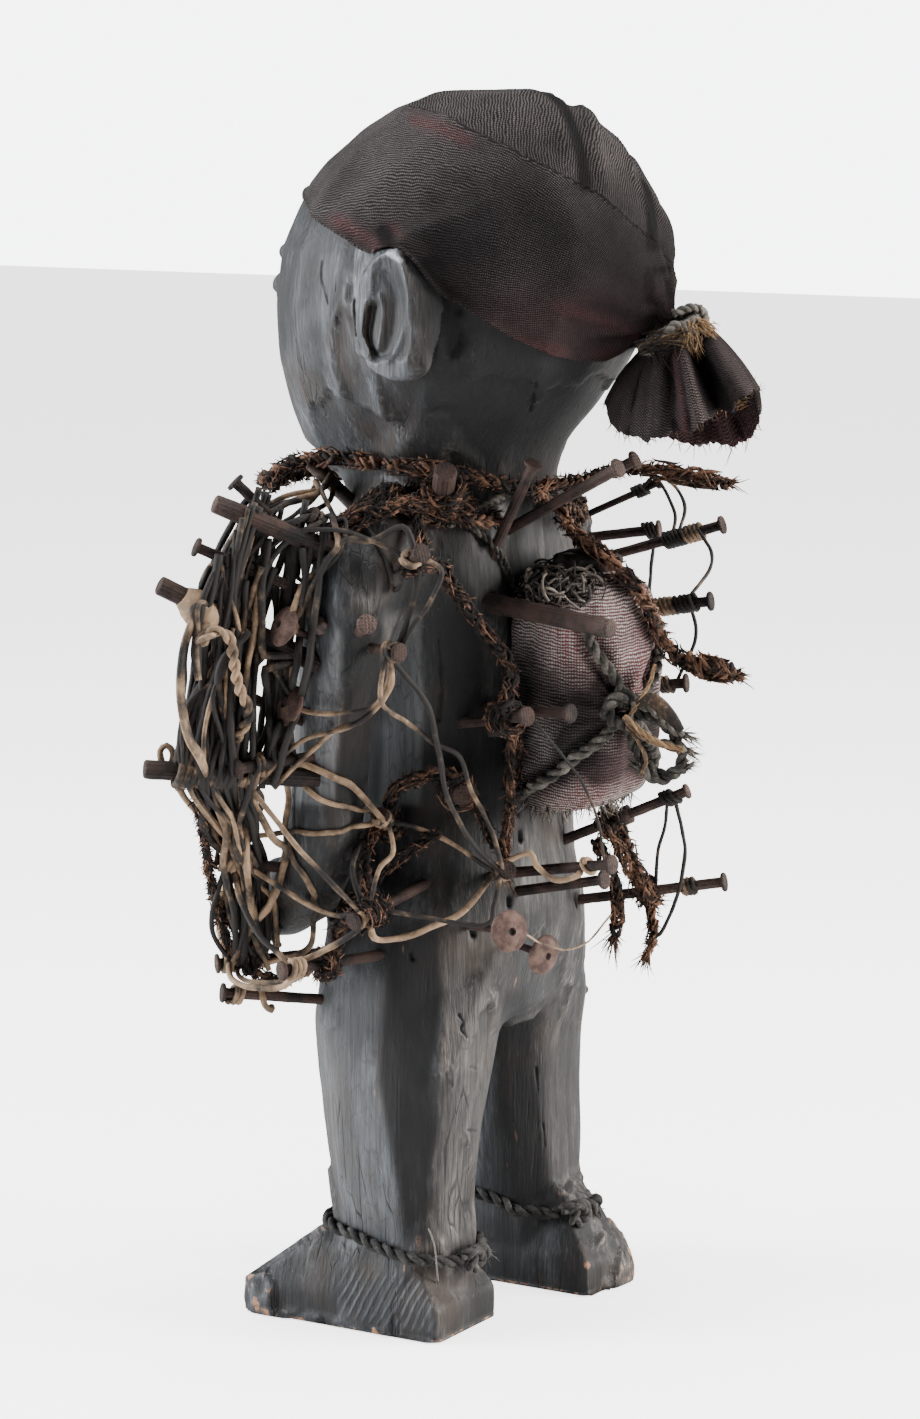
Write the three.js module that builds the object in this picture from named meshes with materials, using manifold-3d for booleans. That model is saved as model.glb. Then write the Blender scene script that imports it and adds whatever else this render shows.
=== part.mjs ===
// Carved power figure with a cloth over its crown, a pack on its back, driven iron and wound fibre.
// Millimetres, +Z up. The figure stands on z = 0 and faces -Y, so its left side is +X.
import * as THREE from "three";
import { mergeVertices } from "three/addons/utils/BufferGeometryUtils.js";
import Module from "manifold-3d";

// Driving sizes. The carving keeps its proportions as shares of FIGURE_HEIGHT.
const FIGURE_HEIGHT = 580;
const DRAWN_HEIGHT = 580; // the height at which the places on the carving are written
const CLEARANCE = 0.35; // between pieces that touch
const WRAP_CLEARANCE = 0.5; // between a nail and the fibre wound on it
const BITE = 9; // how deep the iron is driven into the wood
const NAIL_SHANK = 2.5; // radius
const NAIL_HEAD = 4.6; // radius
const NAIL_HEAD_THICKNESS = 1.8;
const ROD = 4.5; // radius of the thick cut rods
const BOLT = 5.4; // radius
const PEG = 3.6; // radius of the round wooden pegs
const COLLAR_HEAD = 3.7; // radius of the head on the nail that goes through a disc
const COLLAR_THICKNESS = 3.6; // of that disc
const DOME = 8; // radius of the domed tack heads
const DOME_RISE = 3.4;
const WIRE = 1.7; // radius of the thin tack shanks and wires
const WIRE_HEAD = 3.1; // radius
const CLOTH = 2.6; // thickness of the head cloth
const BINDING = 4; // radius of the cord that holds the gathered cloth
const BAST_ROPE = 4.4; // radius
const NET_ROPE = 3.5; // radius of the plaited ropes wound on the iron
const PACK_ROPE = 3; // radius
const PACK_KNOT_SIZE = 7.2; // radius
const ANKLE_ROPE = 3.2; // radius
const VINE = 1.4; // radius
const WRAP_WALL = 3.2; // thickness of the fibre wound on a nail
const WRAP_LENGTH = 7;

// How the free form is faceted.
const ARM_SIDES = 7;
const LEG_SIDES = 9;
const TORSO_SIDES = 14;
const HEAD_SIDES = 16;
const EAR_SIDES = 9;
const NOSE_SIDES = 5;
const GATHER_SIDES = 9;
const PACK_SIDES = 12;
const NAIL_SIDES = 5;
const ROPE_SIDES = 4;
const VINE_SIDES = 3;
const ROUND_FORM = [7, 3]; // segments round and up
const KNOT_FORM = [6, 4];
const VINE_STEPS = 3;
const NET_ROPE_STEPS = 4;
const PACK_STRAND_STEPS = 5;
const NECK_ROPE_STEPS = 16;
const NECK_END_STEPS = 8;
const ANKLE_CORNERS = 12;
const BINDING_CORNERS = 9;

const wasm = await Module();
wasm.setup();

const share = FIGURE_HEIGHT / DRAWN_HEIGHT;
const point = (x, y, z) => new THREE.Vector3(x, y, z).multiplyScalar(share);

// Joining and cutting of closed geometries.
function solid(geometry) {
  const bare = geometry.clone();
  bare.deleteAttribute("normal");
  bare.deleteAttribute("uv");
  const merged = mergeVertices(bare, 1e-4);
  return new wasm.Manifold(
    new wasm.Mesh({
      numProp: 3,
      vertProperties: merged.attributes.position.array,
      triVerts: new Uint32Array(merged.index.array),
    }),
  );
}

function geometryOf(manifold) {
  const mesh = manifold.getMesh();
  const corners = new Float32Array(mesh.numVert * 3);
  for (let i = 0; i < mesh.numVert; i++) {
    for (let j = 0; j < 3; j++) corners[3 * i + j] = mesh.vertProperties[mesh.numProp * i + j];
  }
  const geometry = new THREE.BufferGeometry();
  geometry.setAttribute("position", new THREE.BufferAttribute(corners, 3));
  geometry.setIndex(new THREE.BufferAttribute(mesh.triVerts, 1));
  return geometry;
}

// A level ring: an ellipse whose corners fill out as squareness rises above 2.
function levelRing([z, x, y, halfWidth, halfDepth, squareness], sides) {
  const ring = [];
  for (let i = 0; i < sides; i++) {
    const angle = (2 * Math.PI * (i + 0.5)) / sides;
    const fill = (value) => Math.sign(value) * Math.abs(value) ** (2 / squareness);
    ring.push(
      point(
        x + halfWidth * fill(Math.cos(angle)),
        y + halfDepth * fill(Math.sin(angle)),
        z,
      ),
    );
  }
  return ring;
}

// Level stations grown by a skin: each row moves out along the slope that it lies on.
function grown(stations, skin) {
  return stations.map((row, i) => {
    const below = stations[Math.max(i - 1, 0)];
    const above = stations[Math.min(i + 1, stations.length - 1)];
    const slope = (above[4] - below[4]) / (above[0] - below[0]);
    const steep = skin / share / Math.hypot(1, slope);
    return [row[0] - slope * steep, row[1], row[2], row[3] + steep, row[4] + steep, row[5]];
  });
}

// A closed body through rings of equally many points, which run anticlockwise seen from the last ring.
function loft(rings) {
  const sides = rings[0].length;
  const corners = rings.flat();
  const faces = [];
  for (let r = 0; r + 1 < rings.length; r++) {
    for (let i = 0; i < sides; i++) {
      const a = r * sides + i;
      const b = r * sides + ((i + 1) % sides);
      faces.push(a, b, b + sides, a, b + sides, a + sides);
    }
  }
  for (const [ring, turned] of [[0, true], [rings.length - 1, false]]) {
    const centre = corners.length;
    corners.push(rings[ring].reduce((sum, p) => sum.add(p), new THREE.Vector3()).divideScalar(sides));
    for (let i = 0; i < sides; i++) {
      const a = ring * sides + i;
      const b = ring * sides + ((i + 1) % sides);
      if (turned) faces.push(centre, b, a);
      else faces.push(centre, a, b);
    }
  }
  const geometry = new THREE.BufferGeometry().setFromPoints(corners);
  geometry.setIndex(faces);
  return geometry;
}

const levelBody = (stations, sides, skin) =>
  loft(grown(stations, skin).map((row) => levelRing(row, sides)));

// A limb: rings square to a smooth path. Stations are x, y, z and the two half widths: along
// `reference` turned square to the path, and square to both.
function limb(stations, sides, skin, reference = new THREE.Vector3(0, 1, 0)) {
  const places = stations.map(([x, y, z]) => point(x, y, z));
  const rings = stations.map((row, i) => {
    const before = places[Math.max(i - 1, 0)];
    const after = places[Math.min(i + 1, places.length - 1)];
    const along = after.clone().sub(before).normalize();
    const across = reference.clone().cross(along).normalize();
    const third = along.clone().cross(across);
    return Array.from({ length: sides }, (_, k) => {
      const angle = (2 * Math.PI * (k + 0.5)) / sides;
      return places[i]
        .clone()
        .addScaledVector(across, (row[3] * share + skin) * Math.cos(angle))
        .addScaledVector(third, (row[4] * share + skin) * Math.sin(angle));
    });
  });
  return loft(rings);
}

// Stations of the carving: height, middle x, middle y, half width, half depth, squareness.
const TORSO = [
  [138, 0, -14, 60, 36, 2.4],
  [148, 0, -14, 80, 47, 2.6],
  [168, 0, -14, 82, 52, 2.5],
  [192, 0, -14, 77, 55, 2.4],
  [222, 0, -18, 67, 57, 2.3],
  [252, 0, -20, 62, 57, 2.3],
  [290, 0, -16, 62, 54, 2.3],
  [330, 0, -11, 68, 48, 2.4],
  [358, 0, -8, 82, 42, 2.4],
  [378, 0, -10, 78, 42, 2.3],
  [392, 0, -18, 58, 50, 2.2],
  [404, 0, -22, 50, 58, 2.1],
];
const HEAD = [
  [398, 0, -22, 47, 58, 2],
  [414, 0, -25, 57, 65, 2.1],
  [431, 0, -20, 68, 75, 2.1],
  [455, 0, -15, 78, 85, 2.1],
  [480, 0, -9, 82, 92, 2.1],
  [505, 0, -6, 80, 92, 2.1],
  [527, 0, -3, 74, 85, 2.1],
  [547, 0, -1, 63, 72, 2],
  [564, 0, 2, 44, 51, 2],
  [576, 0, 5, 17, 20, 2],
];
const LEGS = {
  left: [
    [22, 52, -12, 28, 33, 2.6],
    [50, 52, -12, 29, 35, 2.4],
    [70, 51, -13, 33, 38, 2.4],
    [95, 50, -14, 36, 41, 2.4],
    [122, 47, -14, 39, 45, 2.4],
    [146, 42, -14, 40, 47, 2.4],
    [170, 36, -14, 38, 44, 2.4],
  ],
  right: [
    [22, -44, -8, 28, 34, 2.6],
    [50, -44, -7, 29, 35, 2.4],
    [70, -45, -10, 33, 38, 2.4],
    [95, -46, -15, 36, 41, 2.4],
    [122, -45, -16, 38, 43, 2.4],
    [146, -42, -14, 40, 46, 2.4],
    [170, -36, -14, 38, 44, 2.4],
  ],
};
// Upper arm, elbow, forearm and hand of the left arm; the right one is its mirror image.
const ARM = [
  [66, -8, 386, 16, 16],
  [84, -12, 364, 26, 26],
  [88, -20, 335, 25, 24],
  [86, -30, 290, 20, 21],
  [87, -34, 245, 20, 21],
  [86, -42, 218, 20, 20],
  [74, -66, 202, 18, 17],
  [56, -84, 200, 15, 13],
  [38, -92, 206, 13, 9],
  [28, -90, 210, 8, 6],
];
// Feet: middle of the sole, half width at toe and heel, half length, turn outwards in degrees.
const FEET = {
  left: { x: 55, y: -31, toe: 30, heel: 30, half: 54, turn: 0 },
  right: { x: -42, y: -4, toe: 30, heel: 20, half: 55, turn: -5 },
};
// Height, then how far the side, the toe and the heel have drawn in.
const FOOT_STEPS = [
  [0, 0, 0, 0],
  [17, 0, 0, 0],
  [23, 2, 7, 4],
  [36, 6, 24, 13],
  [45, 9, 38, 22],
];
const FOOT_CORNER = 3; // the bevel of the block's upright edges
const EAR = { x: 84, y: 3, z: 479, halfWide: 19, halfHigh: 33, depth: 12, rim: 5, turn: 84, lean: 3 };

// A foot: a block with bevelled corners that draws in step by step towards the ankle.
function footGeometry({ x, y, toe, heel, half, turn }, skin) {
  const swing = THREE.MathUtils.degToRad(turn);
  const corners = [[1, 1], [-1, 1], [-1, -1], [1, -1]];
  const rings = FOOT_STEPS.map(([z, side, front, back]) => {
    const middle = (front - back) / 2;
    const halfLength = half - (front + back) / 2 + skin;
    return corners.flatMap(([right, rear], i) => {
      const cuts = i % 2 ? [[0, 1], [1, 0]] : [[1, 0], [0, 1]];
      return cuts.map(([ofSide, ofEnd]) => {
        const along = middle + rear * (halfLength - ofSide * FOOT_CORNER);
        const wide = THREE.MathUtils.lerp(toe, heel, (along + half) / (2 * half)) - side + skin;
        const across = right * (wide - ofEnd * FOOT_CORNER);
        return point(
          x + across * Math.cos(swing) - along * Math.sin(swing),
          y + across * Math.sin(swing) + along * Math.cos(swing),
          z,
        );
      });
    });
  });
  return loft(rings);
}

// An ear: a thick oval dish, open outwards, set on the side of the head.
function earGeometry(side, skin) {
  const { halfWide, halfHigh, depth, rim } = EAR;
  const profile = [
    [0, -depth - skin],
    [0.75, -depth - skin],
    [1, 0],
    [0.93, rim * 0.5 + skin],
    [0.66, rim * 0.1 + skin],
    [0, -rim + skin],
  ].map(([radius, height]) => new THREE.Vector2(radius, height));
  const dish = new THREE.LatheGeometry(profile, EAR_SIDES);
  dish.rotateX(Math.PI / 2);
  dish.scale(halfWide + skin, halfHigh + skin, 1);
  dish.rotateX(Math.PI / 2);
  dish.rotateX(THREE.MathUtils.degToRad(EAR.lean));
  dish.rotateZ(THREE.MathUtils.degToRad(EAR.turn));
  dish.translate(EAR.x, EAR.y, EAR.z);
  if (side < 0) {
    dish.scale(-1, 1, 1);
    const index = dish.index.array;
    for (let i = 0; i < index.length; i += 3) [index[i], index[i + 1]] = [index[i + 1], index[i]];
  }
  dish.scale(share, share, share);
  return dish;
}

// The face, in plain rounded forms: middle x, y, z and half sizes across, forwards and up.
const FACE = [
  [0, -92, 503, 38, 9, 6],
  [27, -90, 487, 13, 9, 7],
  [-27, -90, 487, 13, 9, 7],
  [0, -97, 450, 21, 9, 7],
  [0, -86, 424, 26, 13, 12],
];
const NOSE = [
  [0, -94, 504, 5, 4],
  [0, -101, 488, 7, 7],
  [0, -106, 474, 12, 9],
  [0, -100, 466, 10, 5],
];

function faceForm([x, y, z, across, forwards, up], skin) {
  const form = new THREE.SphereGeometry(1, ...ROUND_FORM);
  form.rotateX(Math.PI / 2);
  const grow = (half) => half * share + skin;
  form.scale(grow(across), grow(forwards), grow(up));
  form.translate(x * share, y * share, z * share);
  return form;
}

function carving(skin) {
  const mirroredArm = ARM.map(([x, ...rest]) => [-x, ...rest]);
  const bodies = [
    levelBody(TORSO, TORSO_SIDES, skin),
    levelBody(HEAD, HEAD_SIDES, skin),
    levelBody(LEGS.left, LEG_SIDES, skin),
    levelBody(LEGS.right, LEG_SIDES, skin),
    footGeometry(FEET.left, skin),
    footGeometry(FEET.right, skin),
    limb(ARM, ARM_SIDES, skin),
    limb(mirroredArm, ARM_SIDES, skin),
    earGeometry(1, skin),
    earGeometry(-1, skin),
    limb(NOSE, NOSE_SIDES, skin),
    ...FACE.map((form) => faceForm(form, skin)),
  ];
  return bodies.map(solid).reduce((all, body) => all.add(body));
}

const figure = new THREE.Group();
const finishes = {
  wood: new THREE.MeshStandardMaterial({ color: 0x2b2c2d, roughness: 0.55, metalness: 0 }),
  cloth: new THREE.MeshStandardMaterial({ color: 0x3a2626, roughness: 0.95, metalness: 0 }),
  packCloth: new THREE.MeshStandardMaterial({ color: 0x3c2a2b, roughness: 0.95, metalness: 0 }),
  iron: new THREE.MeshStandardMaterial({ color: 0x4a3b36, roughness: 0.8, metalness: 0.5 }),
  bast: new THREE.MeshStandardMaterial({ color: 0x4b3229, roughness: 0.95, metalness: 0 }),
  vine: new THREE.MeshStandardMaterial({ color: 0x7d6650, roughness: 0.8, metalness: 0 }),
  rope: new THREE.MeshStandardMaterial({ color: 0x3d3d3b, roughness: 0.95, metalness: 0 }),
};

// The pieces already in place, each grown by the clearance: what comes later is trimmed by them.
const inPlace = [];
const trimmed = (body) => inPlace.reduce((left, other) => left.subtract(other), body);

function place(name, body, finish) {
  const mesh = new THREE.Mesh(geometryOf(body), finishes[finish]);
  mesh.name = name;
  figure.add(mesh);
}

// Driven iron, each piece where it enters the wood: name, kind, x, y, z, then the direction it
// stands out in (azimuth from +X and rise, in degrees) and how far it stands out.
const IRON = [
  ["nail_shoulder_left_front", "nail", 98, -33, 368, -52, 45, 50],
  ["rod_shoulder_left", "rod", 106, -21, 374, -45, 23, 55],
  ["nail_upper_arm_left_front", "nail", 106, -29, 352, -45, 24, 58],
  ["bolt_upper_arm_left", "rod", 109, -32, 324, -45, 28, 74],
  ["peg_neck_left", "peg", 50, -46, 391, -50, 45, 23],
  ["bolt_neck_back_left", "bolt", 54, 9, 390, 37, 40, 28],
  ["nail_shoulder_left_top", "nail", 99, -22, 379, -20, 41, 16],
  ["nail_shoulder_left_back", "nail", 92, 9, 366, 66, 22, 22],
  ["nail_upper_arm_left_side", "nail", 105, -3, 337, 45, 20, 16],
  ["tack_upper_arm_left_high", "tack", 111, -28, 334, -25, 23, 16],
  ["tack_upper_arm_left_low", "tack", 107, -34, 299, -20, 21, 10],
  ["nail_upper_arm_left_rear", "nail", 97, 3, 328, 72, 0, 14],
  ["peg_upper_arm_left", "peg", 103, -33, 348, 60, -35, 19],
  ["nail_arm_left_middle", "nail", 101, -42, 294, -50, 26, 45],
  ["rod_arm_left", "rod", 105, -36, 267, -47, 5, 72],
  ["nail_arm_left_low", "nail", 105, -34, 276, -30, -4, 34],
  ["nail_elbow_left", "nail", 102, -52, 223, -55, 8, 28],
  ["nail_hip_left_front_high", "nail", 72, -43, 178, -45, -3, 53],
  ["nail_hip_left_front_low", "nail", 74, -38, 156, -45, 7, 54],
  ["nail_hip_left_side", "nail", 78, -12, 181, -25, -1, 52],
  ["nail_waist_left_side", "nail", 64, -10, 237, 10, 31, 22],
  ["nail_waist_left_back", "nail", 51, 14, 258, 42, 0, 19],
  ["nail_hip_left_back", "nail", 67, 3, 212, -15, -14, 41],
  ["nail_back_left_middle", "nail", 49, 19, 289, 70, 11, 46],
  ["nail_back_left_long", "nail", 41, 28, 295, 78, 4, 50],
  ["nail_buttock_left", "nail", 42, 30, 217, 58, 20, 16],
  ["nail_buttock_middle_high", "nail", 28, 36, 217, 80, 11, 57],
  ["nail_buttock_middle_low", "nail", 27, 37, 208, 85, 13, 48],
  ["nail_buttock_right_long", "nail", -31, 38, 194, 105, 10, 70],
  ["bolt_waist_back_right", "collar", -19, 37, 226, 103, 24, 63],
  ["nail_back_right_middle", "nail", -22, 35, 296, 105, 6, 57],
  ["tack_buttock_left_high", "tack", 56, 27, 195, 60, 7, 38],
  ["tack_buttock_left_low", "tack", 36, 36, 185, 75, -7, 25],
  ["nail_nape_left", "nail", 26, 30, 378, 85, 28, 68],
  ["nail_nape_right", "nail", -2, 32, 384, 95, 29, 53],
  ["wire_shoulder_right_top", "wire", -88, 9, 373, 100, 25, 38],
  ["nail_back_left_high", "nail", 39, 29, 370, 80, 60, 47],
  ["nail_shoulder_right_back", "nail", -89, 10, 361, 108, 8, 33],
  ["nail_shoulder_right_long", "nail", -75, 16, 351, 100, 17, 70],
  ["nail_back_right_high", "nail", -23, 35, 331, 100, 9, 70],
  ["bar_back_left", "rod", 43, 29, 345, 82, -5, 70],
  ["nail_chest_left", "nail", 30, -58, 334, -70, 12, 42],
  ["nail_chest_right", "nail", -34, -57, 318, -108, 8, 48],
  ["rod_arm_right", "rod", -105, -34, 292, -150, 10, 52],
  ["nail_arm_right_low", "nail", -106, -34, 262, 175, 6, 44],
];

// A shank with a flat head: radius and place along the length.
const headed = (shank, head, length) => [
  [shank, 0],
  [shank, length - NAIL_HEAD_THICKNESS],
  [head, length - NAIL_HEAD_THICKNESS],
  [head, length],
];

// The disc sits at this share of the length of its nail.
const COLLAR_AT = 0.52;
// A domed head: share of its radius, and share of its rise below its top.
const DOME_CURVE = [[1, 1], [0.72, 0.3], [0.3, 0]];

// The outline of each kind of iron from its point to its end: radius and place along the length.
const OUTLINES = {
  nail: (length) => headed(NAIL_SHANK, NAIL_HEAD, length),
  wire: (length) => headed(WIRE, WIRE_HEAD, length),
  rod: (length) => [[ROD, 0], [ROD, length]],
  bolt: (length) => [[BOLT, 0], [BOLT, length]],
  peg: (length) => [[PEG, 0], [PEG, length]],
  collar: (length) => {
    const under = length * COLLAR_AT;
    const over = under + COLLAR_THICKNESS;
    const [foot, ...rest] = headed(NAIL_SHANK, COLLAR_HEAD, length);
    return [foot, [NAIL_SHANK, under], [NAIL_HEAD, under], [NAIL_HEAD, over], [NAIL_SHANK, over], ...rest];
  },
  tack: (length) => [
    [WIRE, 0],
    [WIRE, length - DOME_RISE],
    ...DOME_CURVE.map(([radius, below]) => [DOME * radius, length - DOME_RISE * below]),
  ],
};

// The outline grown by a skin and closed on the axis.
function ironProfile(kind, length, skin) {
  const outline = OUTLINES[kind](length);
  const facets = skin / Math.cos(Math.PI / NAIL_SIDES);
  const first = outline[0];
  const last = outline.at(-1);
  const grown = outline.map(([radius, at], i) => {
    const below = i > 0 && outline[i - 1][0] < radius && outline[i - 1][1] === at;
    const above = i + 1 < outline.length && outline[i + 1][0] < radius && outline[i + 1][1] === at;
    const shift = below ? -skin : above ? skin : 0;
    return [radius + facets, at + shift];
  });
  grown[0][1] = first[1] - skin;
  grown.at(-1)[1] = last[1] + skin;
  return [[0, grown[0][1]], ...grown, [0, grown.at(-1)[1]]].map(([r, at]) => new THREE.Vector2(r, at));
}

const UP = new THREE.Vector3(0, 1, 0);
const iron = new Map();
for (const [name, kind, x, y, z, azimuth, rise, out] of IRON) {
  const around = THREE.MathUtils.degToRad(azimuth);
  const lift = THREE.MathUtils.degToRad(rise);
  const direction = new THREE.Vector3(
    Math.cos(around) * Math.cos(lift),
    Math.sin(around) * Math.cos(lift),
    Math.sin(lift),
  );
  const foot = point(x, y, z);
  const tip = foot.clone().addScaledVector(direction, -BITE);
  const turn = new THREE.Quaternion().setFromUnitVectors(UP, direction);
  iron.set(name, { kind, direction, foot, tip, turn, out });
}

function ironBody({ kind, tip, turn, out }, skin) {
  const geometry = new THREE.LatheGeometry(ironProfile(kind, out + BITE, skin), NAIL_SIDES);
  geometry.applyQuaternion(turn);
  geometry.translate(tip.x, tip.y, tip.z);
  return solid(geometry);
}

// Each hole follows its own piece of iron with the clearance all round.
const holes = [...iron.values()].map((piece) => ironBody(piece, CLEARANCE));
const wood = holes.reduce((left, hole) => left.subtract(hole), carving(0));
place("carved_figure", wood, "wood");
inPlace.push(carving(CLEARANCE), ...holes);

for (const [name, piece] of iron) {
  const profile = ironProfile(piece.kind, piece.out + BITE, 0);
  const mesh = new THREE.Mesh(new THREE.LatheGeometry(profile, NAIL_SIDES), finishes.iron);
  mesh.name = name;
  mesh.position.copy(piece.tip);
  mesh.quaternion.copy(piece.turn);
  figure.add(mesh);
}

// A tube round a smooth curve through points, open with flat ends or closed on itself.
function tube(points, radius, sides, steps, closed = false) {
  const curve = new THREE.CatmullRomCurve3(points, closed, "centripetal");
  const frames = curve.computeFrenetFrames(steps, closed);
  const rings = [];
  for (let i = 0; i < steps + (closed ? 0 : 1); i++) {
    const middle = curve.getPointAt(i / steps);
    rings.push(
      Array.from({ length: sides }, (_, k) => {
        const angle = (-2 * Math.PI * k) / sides;
        return middle
          .clone()
          .addScaledVector(frames.normals[i], radius * Math.cos(angle))
          .addScaledVector(frames.binormals[i], -radius * Math.sin(angle));
      }),
    );
  }
  return solid(closed ? ringLoft(rings) : loft(rings));
}

// A closed body through rings whose last joins its first.
function ringLoft(rings) {
  const sides = rings[0].length;
  const faces = [];
  for (let r = 0; r < rings.length; r++) {
    const next = ((r + 1) % rings.length) * sides;
    for (let i = 0; i < sides; i++) {
      const j = (i + 1) % sides;
      faces.push(r * sides + i, r * sides + j, next + j, r * sides + i, next + j, next + i);
    }
  }
  const geometry = new THREE.BufferGeometry().setFromPoints(rings.flat());
  geometry.setIndex(faces);
  return geometry;
}

const joined = (bodies) => bodies.reduce((all, body) => all.add(body));

// Head cloth: a shell over the crown, cut off along a sloping rim, gathered behind into a tail.
// The rim behind the ears and in front of them: its height on the figure's axis and its fall to
// the back in degrees. RIM_STEP is how far behind the axis it jumps from one to the other.
const RIM_BEHIND = { z: 489, slope: 24 };
const RIM_BEFORE = { z: 512, slope: 14 };
const RIM_STEP = 20;
const EAR_ROOM = 4; // the cloth is pushed up this far above the ears
// Gather and tail: x, y, z, half width up or forwards, half width across.
const GATHER = [
  [0, 78, 474, 17, 30],
  [0, 90, 473, 11, 14],
  [0, 97, 471, 8, 8],
  [-1, 104, 466, 11, 11],
  [-2, 112, 454, 15, 22],
  [-4, 115, 440, 22, 32],
  [-5, 114, 426, 26, 39],
  [-5, 112, 413, 27, 41],
];
const GATHER_NECK = 2; // the station where the binding sits

const headShell = (skin) => solid(levelBody(HEAD, HEAD_SIDES, skin));

// The part of a body above the rim.
function aboveRim(body) {
  const reach = FIGURE_HEIGHT;
  const half = ({ z, slope }, side, y) => {
    const box = new THREE.BoxGeometry(reach, reach, reach);
    box.translate(0, y, (side * reach) / 2);
    box.rotateX(-THREE.MathUtils.degToRad(slope));
    box.translate(0, 0, z * share);
    return solid(box);
  };
  const before = half(RIM_BEFORE, -1, RIM_STEP * share - reach / 2);
  return body.intersect(half(RIM_BEHIND, 1, 0)).subtract(before);
}

function headCloth(skin) {
  const across = new THREE.Vector3(1, 0, 0);
  const shell = aboveRim(headShell(CLEARANCE + CLOTH + skin)).subtract(headShell(CLEARANCE - skin));
  const gather = solid(limb(GATHER, GATHER_SIDES, skin, across)).subtract(headShell(CLEARANCE - skin));
  const ears = [1, -1].map((side) => solid(earGeometry(side, EAR_ROOM - skin)));
  return ears.reduce((left, ear) => left.subtract(ear), shell.add(gather));
}

place("head_cloth", trimmed(headCloth(0)), "cloth");
inPlace.push(headCloth(CLEARANCE));

// Binding: a ring of cord round the neck of the gather.
function clothBinding(skin) {
  const [x, y, z, up, across] = GATHER[GATHER_NECK];
  const radius = Math.max(up, across) * share + 2 * CLEARANCE + BINDING;
  const points = Array.from({ length: BINDING_CORNERS }, (_, i) => {
    const angle = (2 * Math.PI * i) / BINDING_CORNERS;
    return new THREE.Vector3(radius * Math.cos(angle), 0, radius * Math.sin(angle)).add(point(x, y, z));
  });
  return tube(points, BINDING + skin, ROPE_SIDES, BINDING_CORNERS, true);
}

place("head_cloth_binding", trimmed(clothBinding(0)), "rope");
inPlace.push(clothBinding(CLEARANCE));

// Pack on the back: height, middle x, middle y, half width, half depth, squareness.
const PACK = [
  [248, 3, 48, 24, 20, 2.2],
  [257, 3, 53, 33, 28, 2.3],
  [280, 3, 55, 36, 33, 2.3],
  [306, 3, 56, 36, 34, 2.3],
  [332, 3, 56, 35, 33, 2.3],
  [349, 3, 56, 31, 29, 2.2],
  [358, 3, 54, 22, 20, 2],
];
const pack = (skin) => solid(levelBody(PACK, PACK_SIDES, skin));
place("medicine_bundle", trimmed(pack(0)), "packCloth");
inPlace.push(pack(CLEARANCE));

// A place on the pack's side: angle from +X in degrees, height, and how far it stands off.
function onPack(angle, z, off) {
  const above = Math.max(PACK.findIndex((row) => row[0] >= z), 1);
  const [from, to] = [PACK[above - 1], PACK[above]];
  const t = THREE.MathUtils.clamp((z - from[0]) / (to[0] - from[0]), 0, 1);
  const [, x, y, halfWidth, halfDepth] = from.map((value, i) => THREE.MathUtils.lerp(value, to[i], t));
  const turn = THREE.MathUtils.degToRad(angle);
  const away = new THREE.Vector3(Math.cos(turn), Math.sin(turn), 0);
  return point(x + halfWidth * away.x, y + halfDepth * away.y, z).addScaledVector(away, off);
}

// Rope on the pack: strands from one knot, as angle and height, and a plug of fibre on top.
const PACK_KNOT = [57, 296];
const PACK_STRANDS = [
  [PACK_KNOT, [40, 318], [28, 338], [30, 350]],
  [PACK_KNOT, [85, 314], [112, 330], [122, 348]],
  [PACK_KNOT, [30, 282], [-2, 268], [-28, 258]],
  [PACK_KNOT, [88, 284], [112, 272], [120, 262]],
];
const PLUG = [4, 58, 362, 25, 19, 7];

function packRope(skin) {
  const off = PACK_ROPE + 2 * CLEARANCE;
  const strands = PACK_STRANDS.map((route) =>
    tube(route.map(([angle, z]) => onPack(angle, z, off)), PACK_ROPE + skin, ROPE_SIDES, PACK_STRAND_STEPS),
  );
  const knot = new THREE.SphereGeometry(PACK_KNOT_SIZE + skin, ...KNOT_FORM);
  knot.translate(...onPack(...PACK_KNOT, off + PACK_ROPE / 2).toArray());
  return joined([...strands, solid(knot)]);
}

place("bundle_rope", trimmed(packRope(0)), "rope");
inPlace.push(packRope(CLEARANCE));

const fibrePlug = (skin) => solid(faceForm(PLUG, skin));
place("bundle_fibre", trimmed(fibrePlug(0)), "rope");
inPlace.push(fibrePlug(CLEARANCE));

// Ankle ropes: a closed ring round each leg, lower behind.
const ANKLE = { height: 43, fall: 6 };

function ankleRope(stations, skin) {
  const row = stations[1];
  const off = ANKLE_ROPE + 3 * CLEARANCE;
  const [, x, y, halfWidth, halfDepth, squareness] = row;
  const ring = [ANKLE.height, x, y, halfWidth + off / share, halfDepth + off / share, squareness];
  const points = levelRing(ring, ANKLE_CORNERS).map((p) => {
    p.z -= (ANKLE.fall * share * (p.y - row[2] * share)) / (row[4] * share);
    return p;
  });
  return tube(points, ANKLE_ROPE + skin, ROPE_SIDES, ANKLE_CORNERS, true);
}

for (const side of ["left", "right"]) {
  place(`ankle_rope_${side}`, trimmed(ankleRope(LEGS[side], 0)), "rope");
  inPlace.push(ankleRope(LEGS[side], CLEARANCE));
}

// A place on a piece of iron, so far out from the wood, and the wrap of fibre wound on it there.
function along(name, out) {
  const { foot, direction } = iron.get(name);
  return foot.clone().addScaledVector(direction, out);
}

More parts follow.
